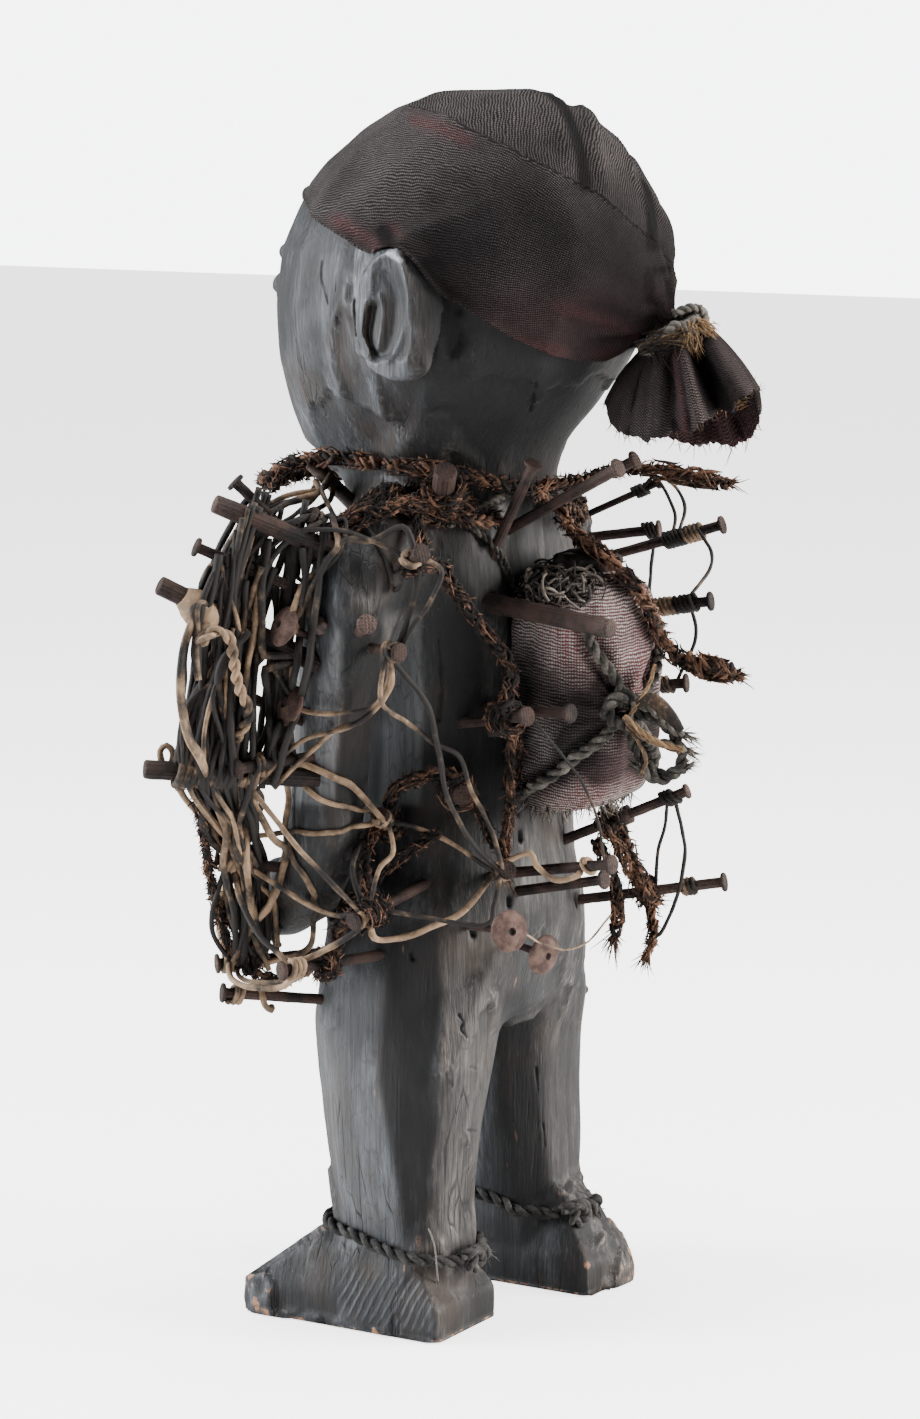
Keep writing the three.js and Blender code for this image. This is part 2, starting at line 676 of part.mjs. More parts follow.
function wrap([name, out], skin) {
  const { kind, turn } = iron.get(name);
  const [core] = ironProfile(kind, BITE, 0).slice(1);
  const inside = core.x + (WRAP_CLEARANCE - skin) / Math.cos(Math.PI / NAIL_SIDES);
  const outside = core.x + WRAP_WALL + skin;
  const half = WRAP_LENGTH / 2 + skin;
  const profile = [
    [inside, -half],
    [outside, 0],
    [inside, half],
    [inside, -half],
  ].map(([radius, at]) => new THREE.Vector2(radius, at));
  const ring = new THREE.LatheGeometry(profile, NAIL_SIDES);
  ring.applyQuaternion(turn);
  ring.translate(...along(name, out).toArray());
  return solid(ring);
}

// The place where a strand meets a wrap: in its wall, on the side that faces `towards`.
function wrapWall([name, out], towards) {
  const { kind, direction } = iron.get(name);
  const middle = along(name, out);
  const side = towards.clone().sub(middle);
  side.addScaledVector(direction, -side.dot(direction)).normalize();
  const [core] = ironProfile(kind, BITE, 0).slice(1);
  return middle.addScaledVector(side, core.x + WRAP_CLEARANCE + WRAP_WALL / 2);
}

// Strands run from wrap to wrap. A route is a list of wraps, as [piece of iron, place along it], and
// free places, as [x, y, z]. Between two wraps alone, the strand bows out by `bow`.
const BOWED_AT = [0.3, 0.7]; // shares of the way
const isWrap = (stop) => typeof stop[0] === "string";
const middleOf = (stop) => (isWrap(stop) ? along(...stop) : point(...stop));

function strand(route, radius, sides, steps, bow = 0) {
  const points = route.map((stop, i) => {
    if (!isWrap(stop)) return middleOf(stop);
    return wrapWall(stop, middleOf(route[i === 0 ? 1 : i - 1]));
  });
  if (bow) {
    const [from, to] = points;
    const outward = from.clone().add(to).setZ(0).normalize();
    const bowed = BOWED_AT.map((t) => from.clone().lerp(to, t).addScaledVector(outward, bow));
    points.splice(1, 0, ...bowed);
  }
  return tube(points, radius, sides, steps);
}

// A net: its strands, with one wrap at each place on the iron where they start or end.
function net(strands, radius, sides, steps, skin) {
  const stops = strands.flatMap(({ route }) => route.filter(isWrap));
  const wraps = [...new Map(stops.map((stop) => [stop.join(), stop])).values()];
  const tubes = strands.map(({ route, bow }) => strand(route, radius + skin, sides, steps, bow));
  return joined([...wraps.map((stop) => wrap(stop, skin)), ...tubes]);
}

// Necklace rope: a sloping ring round the neck, with one end over the pack and one behind the neck.
const NECKLACE = { height: 392, slope: 16, turn: 15, off: 8 };
const NECKLACE_ENDS = [
  [[6, 40, 388], [10, 52, 376], [14, 70, 368], [12, 90, 350], [2, 96, 330], [-5, 103, 317], [-8, 124, 314]],
  [[20, 40, 394], [-6, 47, 397], [-26, 56, 402], [-34, 74, 402], [-38, 92, 399], [-40, 108, 397]],
];

function necklace(skin) {
  const [, x, y, halfWidth, halfDepth] = TORSO.at(-1);
  const ring = Array.from({ length: NECK_ROPE_STEPS }, (_, i) => {
    const angle = (2 * Math.PI * i) / NECK_ROPE_STEPS;
    const z = NECKLACE.height + NECKLACE.slope * Math.cos(angle + THREE.MathUtils.degToRad(NECKLACE.turn));
    const off = NECKLACE.off;
    return point(x + (halfWidth + off) * Math.cos(angle), y + (halfDepth + off) * Math.sin(angle), z);
  });
  const ends = NECKLACE_ENDS.map((route) =>
    tube(route.map((p) => point(...p)), BAST_ROPE + skin, ROPE_SIDES, NECK_END_STEPS),
  );
  return joined([tube(ring, BAST_ROPE + skin, ROPE_SIDES, NECK_ROPE_STEPS, true), ...ends]);
}

place("bast_rope_neck", trimmed(necklace(0)), "bast");
inPlace.push(necklace(CLEARANCE));

// Plaited ropes wound on the iron of the back, the hip and the right side.
const BAST_ROPES = {
  bast_rope_back: [
    [
      ["nail_shoulder_left_back", 6],
      [74, 26, 352],
      [62, 38, 334],
      [54, 46, 316],
      ["nail_back_left_middle", 30],
    ],
    [["nail_back_left_middle", 30], [44, 42, 270], [47, 40, 246], ["nail_buttock_left", 3.5]],
  ],
  bast_rope_hip: [
    [["nail_waist_left_side", 8], [76, 0, 262], [68, 16, 266], ["nail_waist_left_back", 5]],
    [["nail_waist_left_side", 8], [88, -12, 228], ["nail_hip_left_back", 27]],
    [["nail_hip_left_back", 27], [92, -20, 190], ["nail_hip_left_side", 26]],
    [["nail_hip_left_side", 26], [98, -48, 172], ["nail_hip_left_front_high", 38]],
  ],
  bast_rope_right: [
    [["bolt_waist_back_right", 20], [-30, 62, 215], ["nail_buttock_right_long", 30]],
    [["bolt_waist_back_right", 20], [-16, 58, 210], [-18, 60, 188]],
    [["nail_buttock_right_long", 30], [-34, 74, 184], [-33, 72, 172]],
  ],
};

for (const [name, routes] of Object.entries(BAST_ROPES)) {
  const strands = routes.map((route) => ({ route }));
  const make = (skin) => net(strands, NET_ROPE, ROPE_SIDES, NET_ROPE_STEPS, skin);
  place(name, trimmed(make(0)), "bast");
  inPlace.push(make(CLEARANCE));
}

// Vine nets on the left side, the left front and the right side: two places on the iron, and how
// far the strand between them bows out.
const VINE_NETS = {
  vine_net_left: [
    ["rod_arm_left", 22, "nail_waist_left_side", 16, 10],
    ["nail_elbow_left", 12, "nail_hip_left_back", 35, 20],
    ["rod_arm_left", 22, "nail_upper_arm_left_rear", 7, 16],
    ["rod_arm_left", 22, "nail_hip_left_back", 35, 12],
    ["nail_waist_left_side", 16, "nail_buttock_left", 10.5, 22],
    ["nail_hip_left_back", 35, "nail_buttock_left", 10.5, 12],
    ["nail_upper_arm_left_rear", 7, "nail_waist_left_back", 13, 24],
    ["nail_upper_arm_left_side", 10, "nail_shoulder_left_top", 9, 12],
    ["nail_upper_arm_left_side", 10, "nail_upper_arm_left_rear", 7, 6],
  ],
  vine_net_front: [
    ["nail_shoulder_left_front", 40, "nail_upper_arm_left_front", 44, 6],
    ["nail_upper_arm_left_front", 44, "bolt_upper_arm_left", 52, 4],
    ["nail_upper_arm_left_front", 44, "nail_arm_left_middle", 36, 14],
    ["bolt_upper_arm_left", 52, "rod_arm_left", 44, 14],
    ["nail_arm_left_middle", 36, "rod_arm_left", 44, 6],
    ["rod_arm_left", 44, "nail_elbow_left", 21, 8],
    ["nail_elbow_left", 21, "nail_hip_left_front_high", 47, 8],
    ["nail_hip_left_front_high", 47, "nail_hip_left_front_low", 46, 6],
  ],
  vine_net_right: [
    ["nail_shoulder_right_long", 56, "wire_shoulder_right_top", 28, 6],
    ["nail_shoulder_right_long", 56, "nail_back_right_high", 58, 6],
    ["nail_back_right_high", 58, "nail_back_right_middle", 46, 4],
    ["nail_back_right_middle", 46, "bolt_waist_back_right", 52, 6],
    ["bolt_waist_back_right", 52, "nail_buttock_right_long", 52, 5],
  ],
};

for (const [name, rows] of Object.entries(VINE_NETS)) {
  const strands = rows.map(([from, fromOut, to, toOut, bow]) => ({
    route: [[from, fromOut], [to, toOut]],
    bow,
  }));
  const make = (skin) => net(strands, VINE, VINE_SIDES, VINE_STEPS, skin);
  place(name, trimmed(make(0)), "vine");
  inPlace.push(make(CLEARANCE));
}

// The origin lies under the middle of the whole piece.
const extent = new THREE.Box3().setFromObject(figure);
const middle = extent.getCenter(new THREE.Vector3());
figure.children.forEach((piece) => {
  piece.position.x -= middle.x;
  piece.position.y -= middle.y;
});

export default figure;
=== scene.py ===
import bmesh
import bpy
import numpy as np
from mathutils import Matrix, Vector
from mathutils.bvhtree import BVHTree


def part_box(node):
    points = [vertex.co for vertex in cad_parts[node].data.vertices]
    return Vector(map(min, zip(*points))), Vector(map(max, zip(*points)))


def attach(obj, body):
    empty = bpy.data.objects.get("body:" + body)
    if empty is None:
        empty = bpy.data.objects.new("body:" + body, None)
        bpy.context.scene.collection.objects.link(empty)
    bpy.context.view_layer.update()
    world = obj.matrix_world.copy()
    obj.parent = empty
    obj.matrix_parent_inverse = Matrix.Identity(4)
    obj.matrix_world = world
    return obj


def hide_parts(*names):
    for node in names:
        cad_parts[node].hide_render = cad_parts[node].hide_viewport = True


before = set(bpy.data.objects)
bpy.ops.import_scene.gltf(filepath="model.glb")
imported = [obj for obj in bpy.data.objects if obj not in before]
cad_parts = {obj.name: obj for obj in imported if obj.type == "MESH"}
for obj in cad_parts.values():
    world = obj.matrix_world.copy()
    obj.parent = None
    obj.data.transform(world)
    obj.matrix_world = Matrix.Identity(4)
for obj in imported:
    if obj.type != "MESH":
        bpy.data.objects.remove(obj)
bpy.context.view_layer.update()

# The studio: a pale floor, a pale room and soft square lamps, and a long lens behind the figure's left
# shoulder, a little above its waist, that looks slightly down. None of it belongs to the figure.
MM = 0.001
FRAME_WIDTH = 920
FRAME_HEIGHT = 1419
FOCAL = 4312  # in the same steps as the frame's height
SENSOR = 36.0
LENS_PLACE = (1736.3, 1030.1, 610)
LENS_TARGET = (22, 0, 290)
FLOOR_GLOW = 2.6
ROOM_DIM = 0.06
ROOM_WHITE = 6.5
AXIS_OFFSET = (1.2, -114.55)  # from the figure's upright axis to the carving's middle and foremost point

# Places are drawn in millimetres from the figure's own upright axis, on which it is symmetric.
wood_low, wood_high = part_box("carved_figure")
AXIS = np.array([(wood_low.x + wood_high.x) / 2 - AXIS_OFFSET[0] * MM, wood_low.y - AXIS_OFFSET[1] * MM, 0])


def at(points):
    """Places in the frame, in metres, of points in millimetres from the figure's axis."""
    return np.asarray(points, float) * MM + AXIS


def lamp(name, place, target, size, watts, colour=(1, 1, 1)):
    """A soft square light that looks at a target."""
    light = bpy.data.lights.new(name, "AREA")
    light.size = size
    light.energy = watts
    light.color = colour
    stand = bpy.data.objects.new(name, light)
    stand.location = place
    stand.rotation_euler = (Vector(target) - Vector(place)).to_track_quat("-Z", "Y").to_euler()
    bpy.context.scene.collection.objects.link(stand)


camera = bpy.data.objects.new("photo_camera", bpy.data.cameras.new("photo_camera"))
camera.data.sensor_fit = "VERTICAL"
camera.data.sensor_height = SENSOR
camera.data.lens = FOCAL / FRAME_HEIGHT * SENSOR
camera.location = at(LENS_PLACE)
camera.rotation_euler = (Vector(at(LENS_TARGET)) - camera.location).to_track_quat("-Z", "Y").to_euler()
bpy.context.scene.collection.objects.link(camera)
bpy.context.scene.camera = camera
bpy.context.view_layer.update()

bpy.ops.mesh.primitive_plane_add(size=14, location=(0, 0, 0))
floor = bpy.context.object
floor.name = "floor"
floor_paint = bpy.data.materials.new("floor")
floor_paint.use_nodes = True
floor_nodes = floor_paint.node_tree.nodes
floor_coat = floor_nodes["Principled BSDF"]
floor_coat.inputs["Base Color"].default_value = (0.9, 0.9, 0.9, 1)
floor_coat.inputs["Roughness"].default_value = 0.9
floor_glow = floor_nodes.new("ShaderNodeEmission")
floor_glow.inputs["Strength"].default_value = FLOOR_GLOW
floor_sum = floor_nodes.new("ShaderNodeAddShader")
floor_choice = floor_nodes.new("ShaderNodeMixShader")
floor_path = floor_nodes.new("ShaderNodeLightPath")
floor_end = floor_nodes["Material Output"]
for source, target in (
    (floor_coat.outputs[0], floor_sum.inputs[0]),
    (floor_glow.outputs[0], floor_sum.inputs[1]),
    (floor_path.outputs["Is Camera Ray"], floor_choice.inputs[0]),
    (floor_coat.outputs[0], floor_choice.inputs[1]),
    (floor_sum.outputs[0], floor_choice.inputs[2]),
    (floor_choice.outputs[0], floor_end.inputs["Surface"]),
):
    floor_paint.node_tree.links.new(source, target)
floor.data.materials.append(floor_paint)

# The room is dim on the lens's side and bright behind the figure, and the lens sees it white.
world = bpy.data.worlds.new("studio")
world.use_nodes = True
room_nodes = world.node_tree.nodes
room = room_nodes["Background"]
room.inputs["Color"].default_value = (0.97, 0.985, 1, 1)
direction = room_nodes.new("ShaderNodeTexCoord")
behind = room_nodes.new("ShaderNodeVectorMath")
behind.operation = "DOT_PRODUCT"
behind.inputs[1].default_value = (Vector((0, 0, 0.3)) - camera.location).normalized()
level = room_nodes.new("ShaderNodeMapRange")
level.inputs["From Min"].default_value = -0.2
level.inputs["To Min"].default_value = ROOM_DIM
level.inputs["To Max"].default_value = 1.0
backdrop = room_nodes.new("ShaderNodeLightPath")
white = room_nodes.new("ShaderNodeMix")
white.inputs["B"].default_value = ROOM_WHITE
for source, target in (
    (direction.outputs["Generated"], behind.inputs[0]),
    (behind.outputs["Value"], level.inputs["Value"]),
    (level.outputs["Result"], white.inputs["A"]),
    (backdrop.outputs["Is Camera Ray"], white.inputs["Factor"]),
    (white.outputs["Result"], room.inputs["Strength"]),
):
    world.node_tree.links.new(source, target)
bpy.context.scene.world = world
lamp("left_side", (1.15, -1.55, 0.85), (0, 0, 0.33), 1.1, 116, (0.95, 0.98, 1))
lamp("right_side", (-0.75, 1.75, 0.8), (0, 0, 0.33), 1.1, 130, (1, 0.97, 0.93))
lamp("above", (0.1, 0.0, 2.1), (0, 0, 0.45), 0.9, 52)

# The figure: carved from one block, blackened and worn, with the knife's long flat cuts left on it.
# The wood has checked along its grain, and pale chips show where the feet's edges are knocked.
WOOD_VOXEL = 2.6 * MM
SMOOTHING = 14
FOOT_TOP = 46 * MM
KNIFE_CUTS = 430
# Heights in millimetres, and how closely the cuts lie there.
CUT_HEIGHTS = (0, 46, 60, 190, 240, 400, 430)
CUT_CLOSENESS = (4, 4, 1, 1.1, 2, 2.4, 4.5)
CUT_STRETCH = np.array([1, 1, 0.4])
CUT_DEPTH = 0.8 * MM
CUT_LIMITS = (-2.6 * MM, 1.9 * MM)
CUT_BATCH = 4000
CUTS_NEAR = 8
TURN_SPAN = 24 * MM
BLACK = (0.002, 0.0021, 0.0025, 1)
CHARCOAL = (0.0075, 0.008, 0.0096, 1)
WORN_AND_SHEEN = (0.062, 0.067, 0.076, 1)
WORN_AND_SHEEN_BROWN = (0.083, 0.071, 0.064, 1)
BROWN = (0.028, 0.018, 0.013, 1)
CHIPPED = (0.33, 0.17, 0.09, 1)
BARE_AND_LIT_GREY = (0.3, 0.31, 0.32, 1)
SPLIT = (0.003, 0.003, 0.003, 1)


class Shade:
    """A shader socket that takes part in sums, so that a pattern reads as its formula."""

    def __init__(self, tree, socket=None):
        self.tree, self.socket = tree, socket

    def node(self, kind, settings=None, sockets=None, out=0):
        """Adds a node of a type, makes its settings, fills or links its sockets and wraps an output."""
        made = self.tree.nodes.new(kind)
        for name, value in (settings or {}).items():
            setattr(made, name, value)
        for name, value in (sockets or {}).items():
            if isinstance(value, Shade):
                self.tree.links.new(value.socket, made.inputs[name])
            else:
                made.inputs[name].default_value = value
        return Shade(self.tree, made.outputs[out])

    def sum(self, operation, a, b=0.0):
        """One Math node."""
        return self.node("ShaderNodeMath", {"operation": operation}, {0: a, 1: b})

    def __add__(self, other):
        return self.sum("ADD", self, other)

    __radd__ = __add__

    def __sub__(self, other):
        return self.sum("SUBTRACT", self, other)

    def __rsub__(self, other):
        return self.sum("SUBTRACT", other, self)

    def __mul__(self, other):
        return self.sum("MULTIPLY", self, other)

    __rmul__ = __mul__

    def wave(self, pitch):
        """Goes from 0 to 1 and back once in each pitch."""
        return self.sum("SINE", self * (6.2832 / pitch)) * 0.5 + 0.5

    def step(self, low, high):
        """Rises smoothly from 0 to 1 as the value goes from low to high."""
        sockets = {"Value": self, "From Min": low, "From Max": high}
        return self.node("ShaderNodeMapRange", {"interpolation_type": "SMOOTHSTEP"}, sockets)

    def mix(self, first, second):
        """A colour that goes from the first to the second as this value goes from 0 to 1."""
        return self.node("ShaderNodeMix", {"data_type": "RGBA"}, {0: self, 6: first, 7: second}, 2)

    def scaled(self, sizes):
        """A place, with each axis multiplied."""
        return self.node("ShaderNodeVectorMath", {"operation": "MULTIPLY"}, {0: self, 1: sizes})

    def noise(self, scale, detail, roughness=0.55, distortion=0.0):
        """Noise from 0 to 1 at this place."""
        sockets = {"Vector": self, "Scale": scale, "Detail": detail}
        sockets |= {"Roughness": roughness, "Distortion": distortion}
        return self.node("ShaderNodeTexNoise", None, sockets)

    def cracks(self, scale):
        """Distance to the nearest edge between cells round scattered points, at this place."""
        sockets = {"Vector": self, "Scale": scale}
        return self.node("ShaderNodeTexVoronoi", {"feature": "DISTANCE_TO_EDGE"}, sockets)

    def place(self):
        """The place on the piece."""
        return self.node("ShaderNodeTexCoord", out="Object")

    def along(self):
        """The place on the piece's own flat pattern."""
        return self.node("ShaderNodeUVMap", {"uv_map": "along"})

    def part(self, axis):
        """One number of a place."""
        return self.node("ShaderNodeSeparateXYZ", None, {0: self}, axis)


def paint(name):
    """A new material, its shader and a wrapper for its nodes."""
    made = bpy.data.materials.new(name)
    made.use_nodes = True
    return made, made.node_tree.nodes["Principled BSDF"], Shade(made.node_tree)


def connect(shader, **sockets):
    """Links or sets the shader's sockets, named with underscores for spaces."""
    for name, value in sockets.items():
        socket = shader.inputs[name.replace("_", " ")]
        if isinstance(value, Shade):
            value.tree.links.new(value.socket, socket)
        else:
            socket.default_value = value


def relief(height, depth, strength, under=None):
    """A surface that a height from 0 to 1 raises by the depth, in metres."""
    sockets = {"Height": height, "Distance": depth, "Strength": strength}
    if under:
        sockets["Normal"] = under
    return height.node("ShaderNodeBump", None, sockets)


def stored(nodes, name):
    """A number that the mesh keeps for each vertex."""
    return nodes.node("ShaderNodeAttribute", {"attribute_name": name}, out="Fac")


def lattice(cells, seed):
    """A number from -1 to 1 for each whole-number place, from the sine of a mix of its parts."""
    mixed = cells @ np.array([127.1, 311.7, 74.7]) + seed * 57.3
    mixed = np.sin(mixed) * 43758.5453
    return 2 * (mixed - np.floor(mixed)) - 1


def noise(points, size, seed=0, octaves=3):
    """Noise of about -1 to 1: lattice numbers a size apart, blended with the smooth cubic step, and
    the same again at half the size and half the strength for each further octave."""
    total = np.zeros(len(points))
    for octave in range(octaves):
        scaled = points / np.asarray(size) * 2**octave
        cell = np.floor(scaled)
        part = scaled - cell
        part = part * part * (3 - 2 * part)
        for corner in np.ndindex(2, 2, 2):
            weight = np.prod(np.where(corner, part, 1 - part), axis=1)
            total += weight * lattice(cell + corner, seed + octave) / 2**octave
    return total


def rise(value, low, high):
    """Goes smoothly from 0 to 1 as the value goes from low to high."""
    t = np.clip((value - low) / (high - low), 0, 1)
    return t * t * (3 - 2 * t)


def hill(distance, width):
    """1 in the middle, and a smooth bell that is near 0 at twice the width."""
    return np.exp(-((distance / width) ** 2))


def unit(ways):
    """Directions, each divided by its own length."""
    return ways / (np.linalg.norm(ways, axis=-1, keepdims=True) + 1e-12)


def steps_of(path):
    """The length of each step of a path."""
    return np.linalg.norm(np.diff(path, axis=0), axis=1)


def run_of(path):
    """How far along a path each of its points lies."""
    return np.concatenate([[0], np.cumsum(steps_of(path))])


def curve(points, count):
    """A smooth path through the points in even steps: between two points it is the cubic whose slope
    at each follows the line between that point's neighbours."""
    p = np.asarray(points, float)
    p = np.concatenate([[2 * p[0] - p[1]], p, [2 * p[-1] - p[-2]]])
    a, b, c, d = (p[k : len(p) - 3 + k, None] for k in range(4))
    t = np.linspace(0, 1, 24, endpoint=False)[:, None]
    dense = (2 * b + (c - a) * t + (2 * a - 5 * b + 4 * c - d) * t**2 + (3 * b - a - 3 * c + d) * t**3) / 2
    dense = np.concatenate([dense.reshape(-1, p.shape[1]), p[-2:-1]])
    length = run_of(dense[:, :3])
    even = np.linspace(0, length[-1], count)
    return np.stack([np.interp(even, length, row) for row in dense.T], axis=1)


def rows_of(mesh, what="co"):
    """The places or the normals of a mesh's vertices, as rows."""
    rows = np.empty(len(mesh.vertices) * 3, np.float32)
    mesh.vertices.foreach_get(what, rows)
    return rows.reshape(-1, 3).astype(float)


def put_rows(mesh, rows):
    """Gives a mesh's vertices new places."""
    mesh.vertices.foreach_set("co", rows.astype(np.float32).ravel())
    mesh.update()


def put_values(mesh, name, values):
    """Stores a number for each vertex, which a material reads by its name."""
    mesh.attributes.new(name, "FLOAT", "POINT").data.foreach_set("value", values.astype(np.float32))


def piece_of(name, mesh, *paints):
    """A smooth-shaded object for a mesh, which rides on the figure and has its materials."""
    piece = bpy.data.objects.new(name, mesh)
    bpy.context.scene.collection.objects.link(piece)
    mesh.polygons.foreach_set("use_smooth", np.ones(len(mesh.polygons), bool))
    for coat in paints:
        mesh.materials.append(coat)
    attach(piece, "root")
    return piece


def settled(holder):
    """An object's mesh as its modifier shapes it; the object itself goes."""
    shaped = bpy.data.meshes.new_from_object(holder.evaluated_get(bpy.context.evaluated_depsgraph_get()))
    bpy.data.objects.remove(holder)
    return shaped


def even_copy(node, voxel):
    """A copy of a CAD node's surface in even small squares."""
    work = bmesh.new()
    work.from_mesh(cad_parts[node].data)
    bmesh.ops.remove_doubles(work, verts=work.verts, dist=1e-6)
    rough = bpy.data.meshes.new(node + "_copy")
    work.to_mesh(rough)
    work.free()
    holder = bpy.data.objects.new(node + "_copy", rough)
    bpy.context.scene.collection.objects.link(holder)
    modifier = holder.modifiers.new("even", "REMESH")
    modifier.mode = "VOXEL"
    modifier.voxel_size = voxel
    return settled(holder)


def ends_of(mesh):
    """The two vertices of each edge."""
    edges = np.empty(len(mesh.edges) * 2, np.int32)
    mesh.edges.foreach_get("vertices", edges)
    return edges.reshape(-1, 2).T


def neighbour_sum(ends, values):
    """For each vertex, the sum of a value over the vertices that an edge joins it to."""
    a, b = ends
    return np.bincount(a, values[b], len(values)) + np.bincount(b, values[a], len(values))


def relax(mesh, rounds, weight):
    """Moves each vertex, by its weight, half of the way to the mean of its neighbours, in rounds."""
    ends, rows = ends_of(mesh), rows_of(mesh)
    count = neighbour_sum(ends, np.ones(len(rows)))
    for _ in range(rounds):
        near = np.stack([neighbour_sum(ends, column) for column in rows.T], axis=1)
        rows += (near / count[:, None] - rows) * (0.5 * weight)[:, None]
    put_rows(mesh, rows)


def refine(mesh, chosen):
    """Cuts each edge between two chosen vertices in half, and the faces with them."""
    work = bmesh.new()
    work.from_mesh(mesh)
    work.verts.ensure_lookup_table()
    edges = [edge for edge in work.edges if chosen[edge.verts[0].index] and chosen[edge.verts[1].index]]
    bmesh.ops.subdivide_edges(work, edges=edges, cuts=1, use_grid_fill=True)
    work.to_mesh(mesh)
    work.free()
    mesh.update()


def knife_cuts(rows, normals, chances, seed):
    """How far each place moves along its normal to lie on the lowest of the flat cuts near it. A cut is
    the plane that touches the surface at one of the seeded random places, sunk by the cut's depth."""
    chances = chances / chances.sum()
    picked = np.random.default_rng(seed).choice(len(rows), KNIFE_CUTS, replace=False, p=chances)
    move = np.empty(len(rows))
    for start in range(0, len(rows), CUT_BATCH):
        part = slice(start, start + CUT_BATCH)
        gap = ((rows[part, None] - rows[None, picked]) * CUT_STRETCH) ** 2
        turn = ((normals[part, None] - normals[None, picked]) * TURN_SPAN) ** 2
        nearest = np.argpartition((gap + turn).sum(axis=2), CUTS_NEAR, axis=1)[:, :CUTS_NEAR]
        cut = picked[nearest]
        alike = (normals[cut] * normals[part, None]).sum(axis=2)
        height = (normals[cut] * (rows[cut] - rows[part, None])).sum(axis=2) / np.maximum(alike, 0.5)
        height = np.where(alike > 0.5, height, 9 * CUT_DEPTH)
        move[part] = np.clip(height.min(axis=1) - CUT_DEPTH, *CUT_LIMITS)
    return move


def standing_out(mesh, rounds):
    """How far each vertex stands above the mean of its neighbours, along its normal: an edge is high
    and a groove is low."""
    ends, rows = ends_of(mesh), rows_of(mesh)
    count = neighbour_sum(ends, np.ones(len(rows)))
    near = np.stack([neighbour_sum(ends, column) for column in rows.T], axis=1)
    high = ((rows - near / count[:, None]) * rows_of(mesh, "normal")).sum(axis=1)
    for _ in range(rounds):
        high = neighbour_sum(ends, high) / count
    return high


def mirrored(rows):
    """Places on both sides of the figure as places on its left side, in millimetres from its axis."""
    folded_over = (rows - AXIS) / MM
    folded_over[:, 0] = np.abs(folded_over[:, 0])
    return folded_over


def inside(rows, low, high):
    """Which places are in a box."""
    return ((rows > low) & (rows < high)).all(axis=1)


eye = np.array(camera.location)
to_world = np.array(camera.rotation_euler.to_matrix())
view = to_world @ np.array((0, 0, -1.0))
TO_HEAD = np.linalg.norm(eye - at((0, 0, 487)))


def ray(u, v):
    """The direction in which the lens sees a place of its 920 by 1419 frame."""
    way = to_world @ np.array(((u - FRAME_WIDTH / 2) / FOCAL, (FRAME_HEIGHT / 2 - v) / FOCAL, -1))
    return way / np.linalg.norm(way)


def pictured(points):
    """Where in the lens's frame points are seen."""
    lens = (points - eye) @ to_world
    u = FRAME_WIDTH / 2 - FOCAL * lens[:, 0] / lens[:, 2]
    v = FRAME_HEIGHT / 2 + FOCAL * lens[:, 1] / lens[:, 2]
    return np.stack([u, v], axis=1)


def apart_from(places, path):
    """How far places are from the nearest point of a path."""
    return np.linalg.norm(places[:, None] - path[None], axis=2).min(axis=1)


def beside(places, stops):
    """How far places are from the smooth line through the stops."""
    return apart_from(places, curve(stops, 50))


def about(places, spot):
    """How far places are from a spot."""
    return np.linalg.norm(places - spot, axis=1)


def tree_of(*meshes):
    """A search tree of the meshes' faces."""
    rows, faces = [], []
    for mesh in meshes:
        first = sum(map(len, rows))
        rows.append(rows_of(mesh))
        faces += [[first + corner for corner in polygon.vertices] for polygon in mesh.polygons]
    return BVHTree.FromPolygons(np.concatenate(rows).tolist(), faces)


def seen(tree, u, v, off=0.0):
    """The place on the tree's surface at a place of the lens's frame, off it along its normal. Just
    past the outline it is the nearest place on the surface."""
    hit, normal, *_ = tree.ray_cast(Vector(eye), Vector(ray(u, v)))
    if hit is None:
        hit, normal, *_ = tree.find_nearest(Vector(eye + ray(u, v) * TO_HEAD))
    return np.array(hit) + np.array(normal) * off


def drawn(tree, places, count, off=0.0):
    """A smooth path of evenly spaced places over a surface, from places in the lens's frame."""
    return curve([seen(tree, u, v, off) for u, v in places], count)


# The ears, the face and the chiselled side of the near foot take finer squares.
EAR_BOX = (77, -22, 442), (110, 27, 516)
NEAR_EAR = (81, -19, 444), (110, 25, 514)
FACE_BOX = (-1, -130, 408), (42, -70, 516)
FOOT_BOX = (74, -90, 3), (95, 30, 40)
wood = even_copy("carved_figure", WOOD_VOXEL)
rows = mirrored(rows_of(wood))
softened = 0.15 + 0.85 * rise(rows[:, 2], FOOT_TOP / MM * 0.7, FOOT_TOP / MM * 1.2)
softened = np.where(inside(rows, *FACE_BOX), 0.25, softened)
relax(wood, SMOOTHING, np.where(inside(rows, *EAR_BOX), 0.12, softened))
rows, normals = rows_of(wood), rows_of(wood, "normal")
left = mirrored(rows)
carved = 1.0 - inside(left, *EAR_BOX)
carved *= 1 - rise(-left[:, 1], 56, 72) * rise(left[:, 2], 404, 416)
closeness = np.interp(rows[:, 2] / MM, CUT_HEIGHTS, CUT_CLOSENESS)
put_rows(wood, rows + normals * (knife_cuts(rows, normals, closeness, 7) * carved)[:, None])
relax(wood, 1, np.full(len(rows), 0.35))
edge = standing_out(wood, 1) / (0.16 * MM)
put_values(wood, "edge", np.clip(edge, -1, 1))
for box, beyond in ((EAR_BOX, -1), (NEAR_EAR, AXIS[0])):
    refine(wood, inside(mirrored(rows_of(wood)), *box) & (rows_of(wood)[:, 0] > beyond))
    relax(wood, 2, inside(mirrored(rows_of(wood)), *box) * 0.8)
refine(wood, inside(mirrored(rows_of(wood)), *FACE_BOX))
refine(wood, inside((rows_of(wood) - AXIS) / MM, *FOOT_BOX))

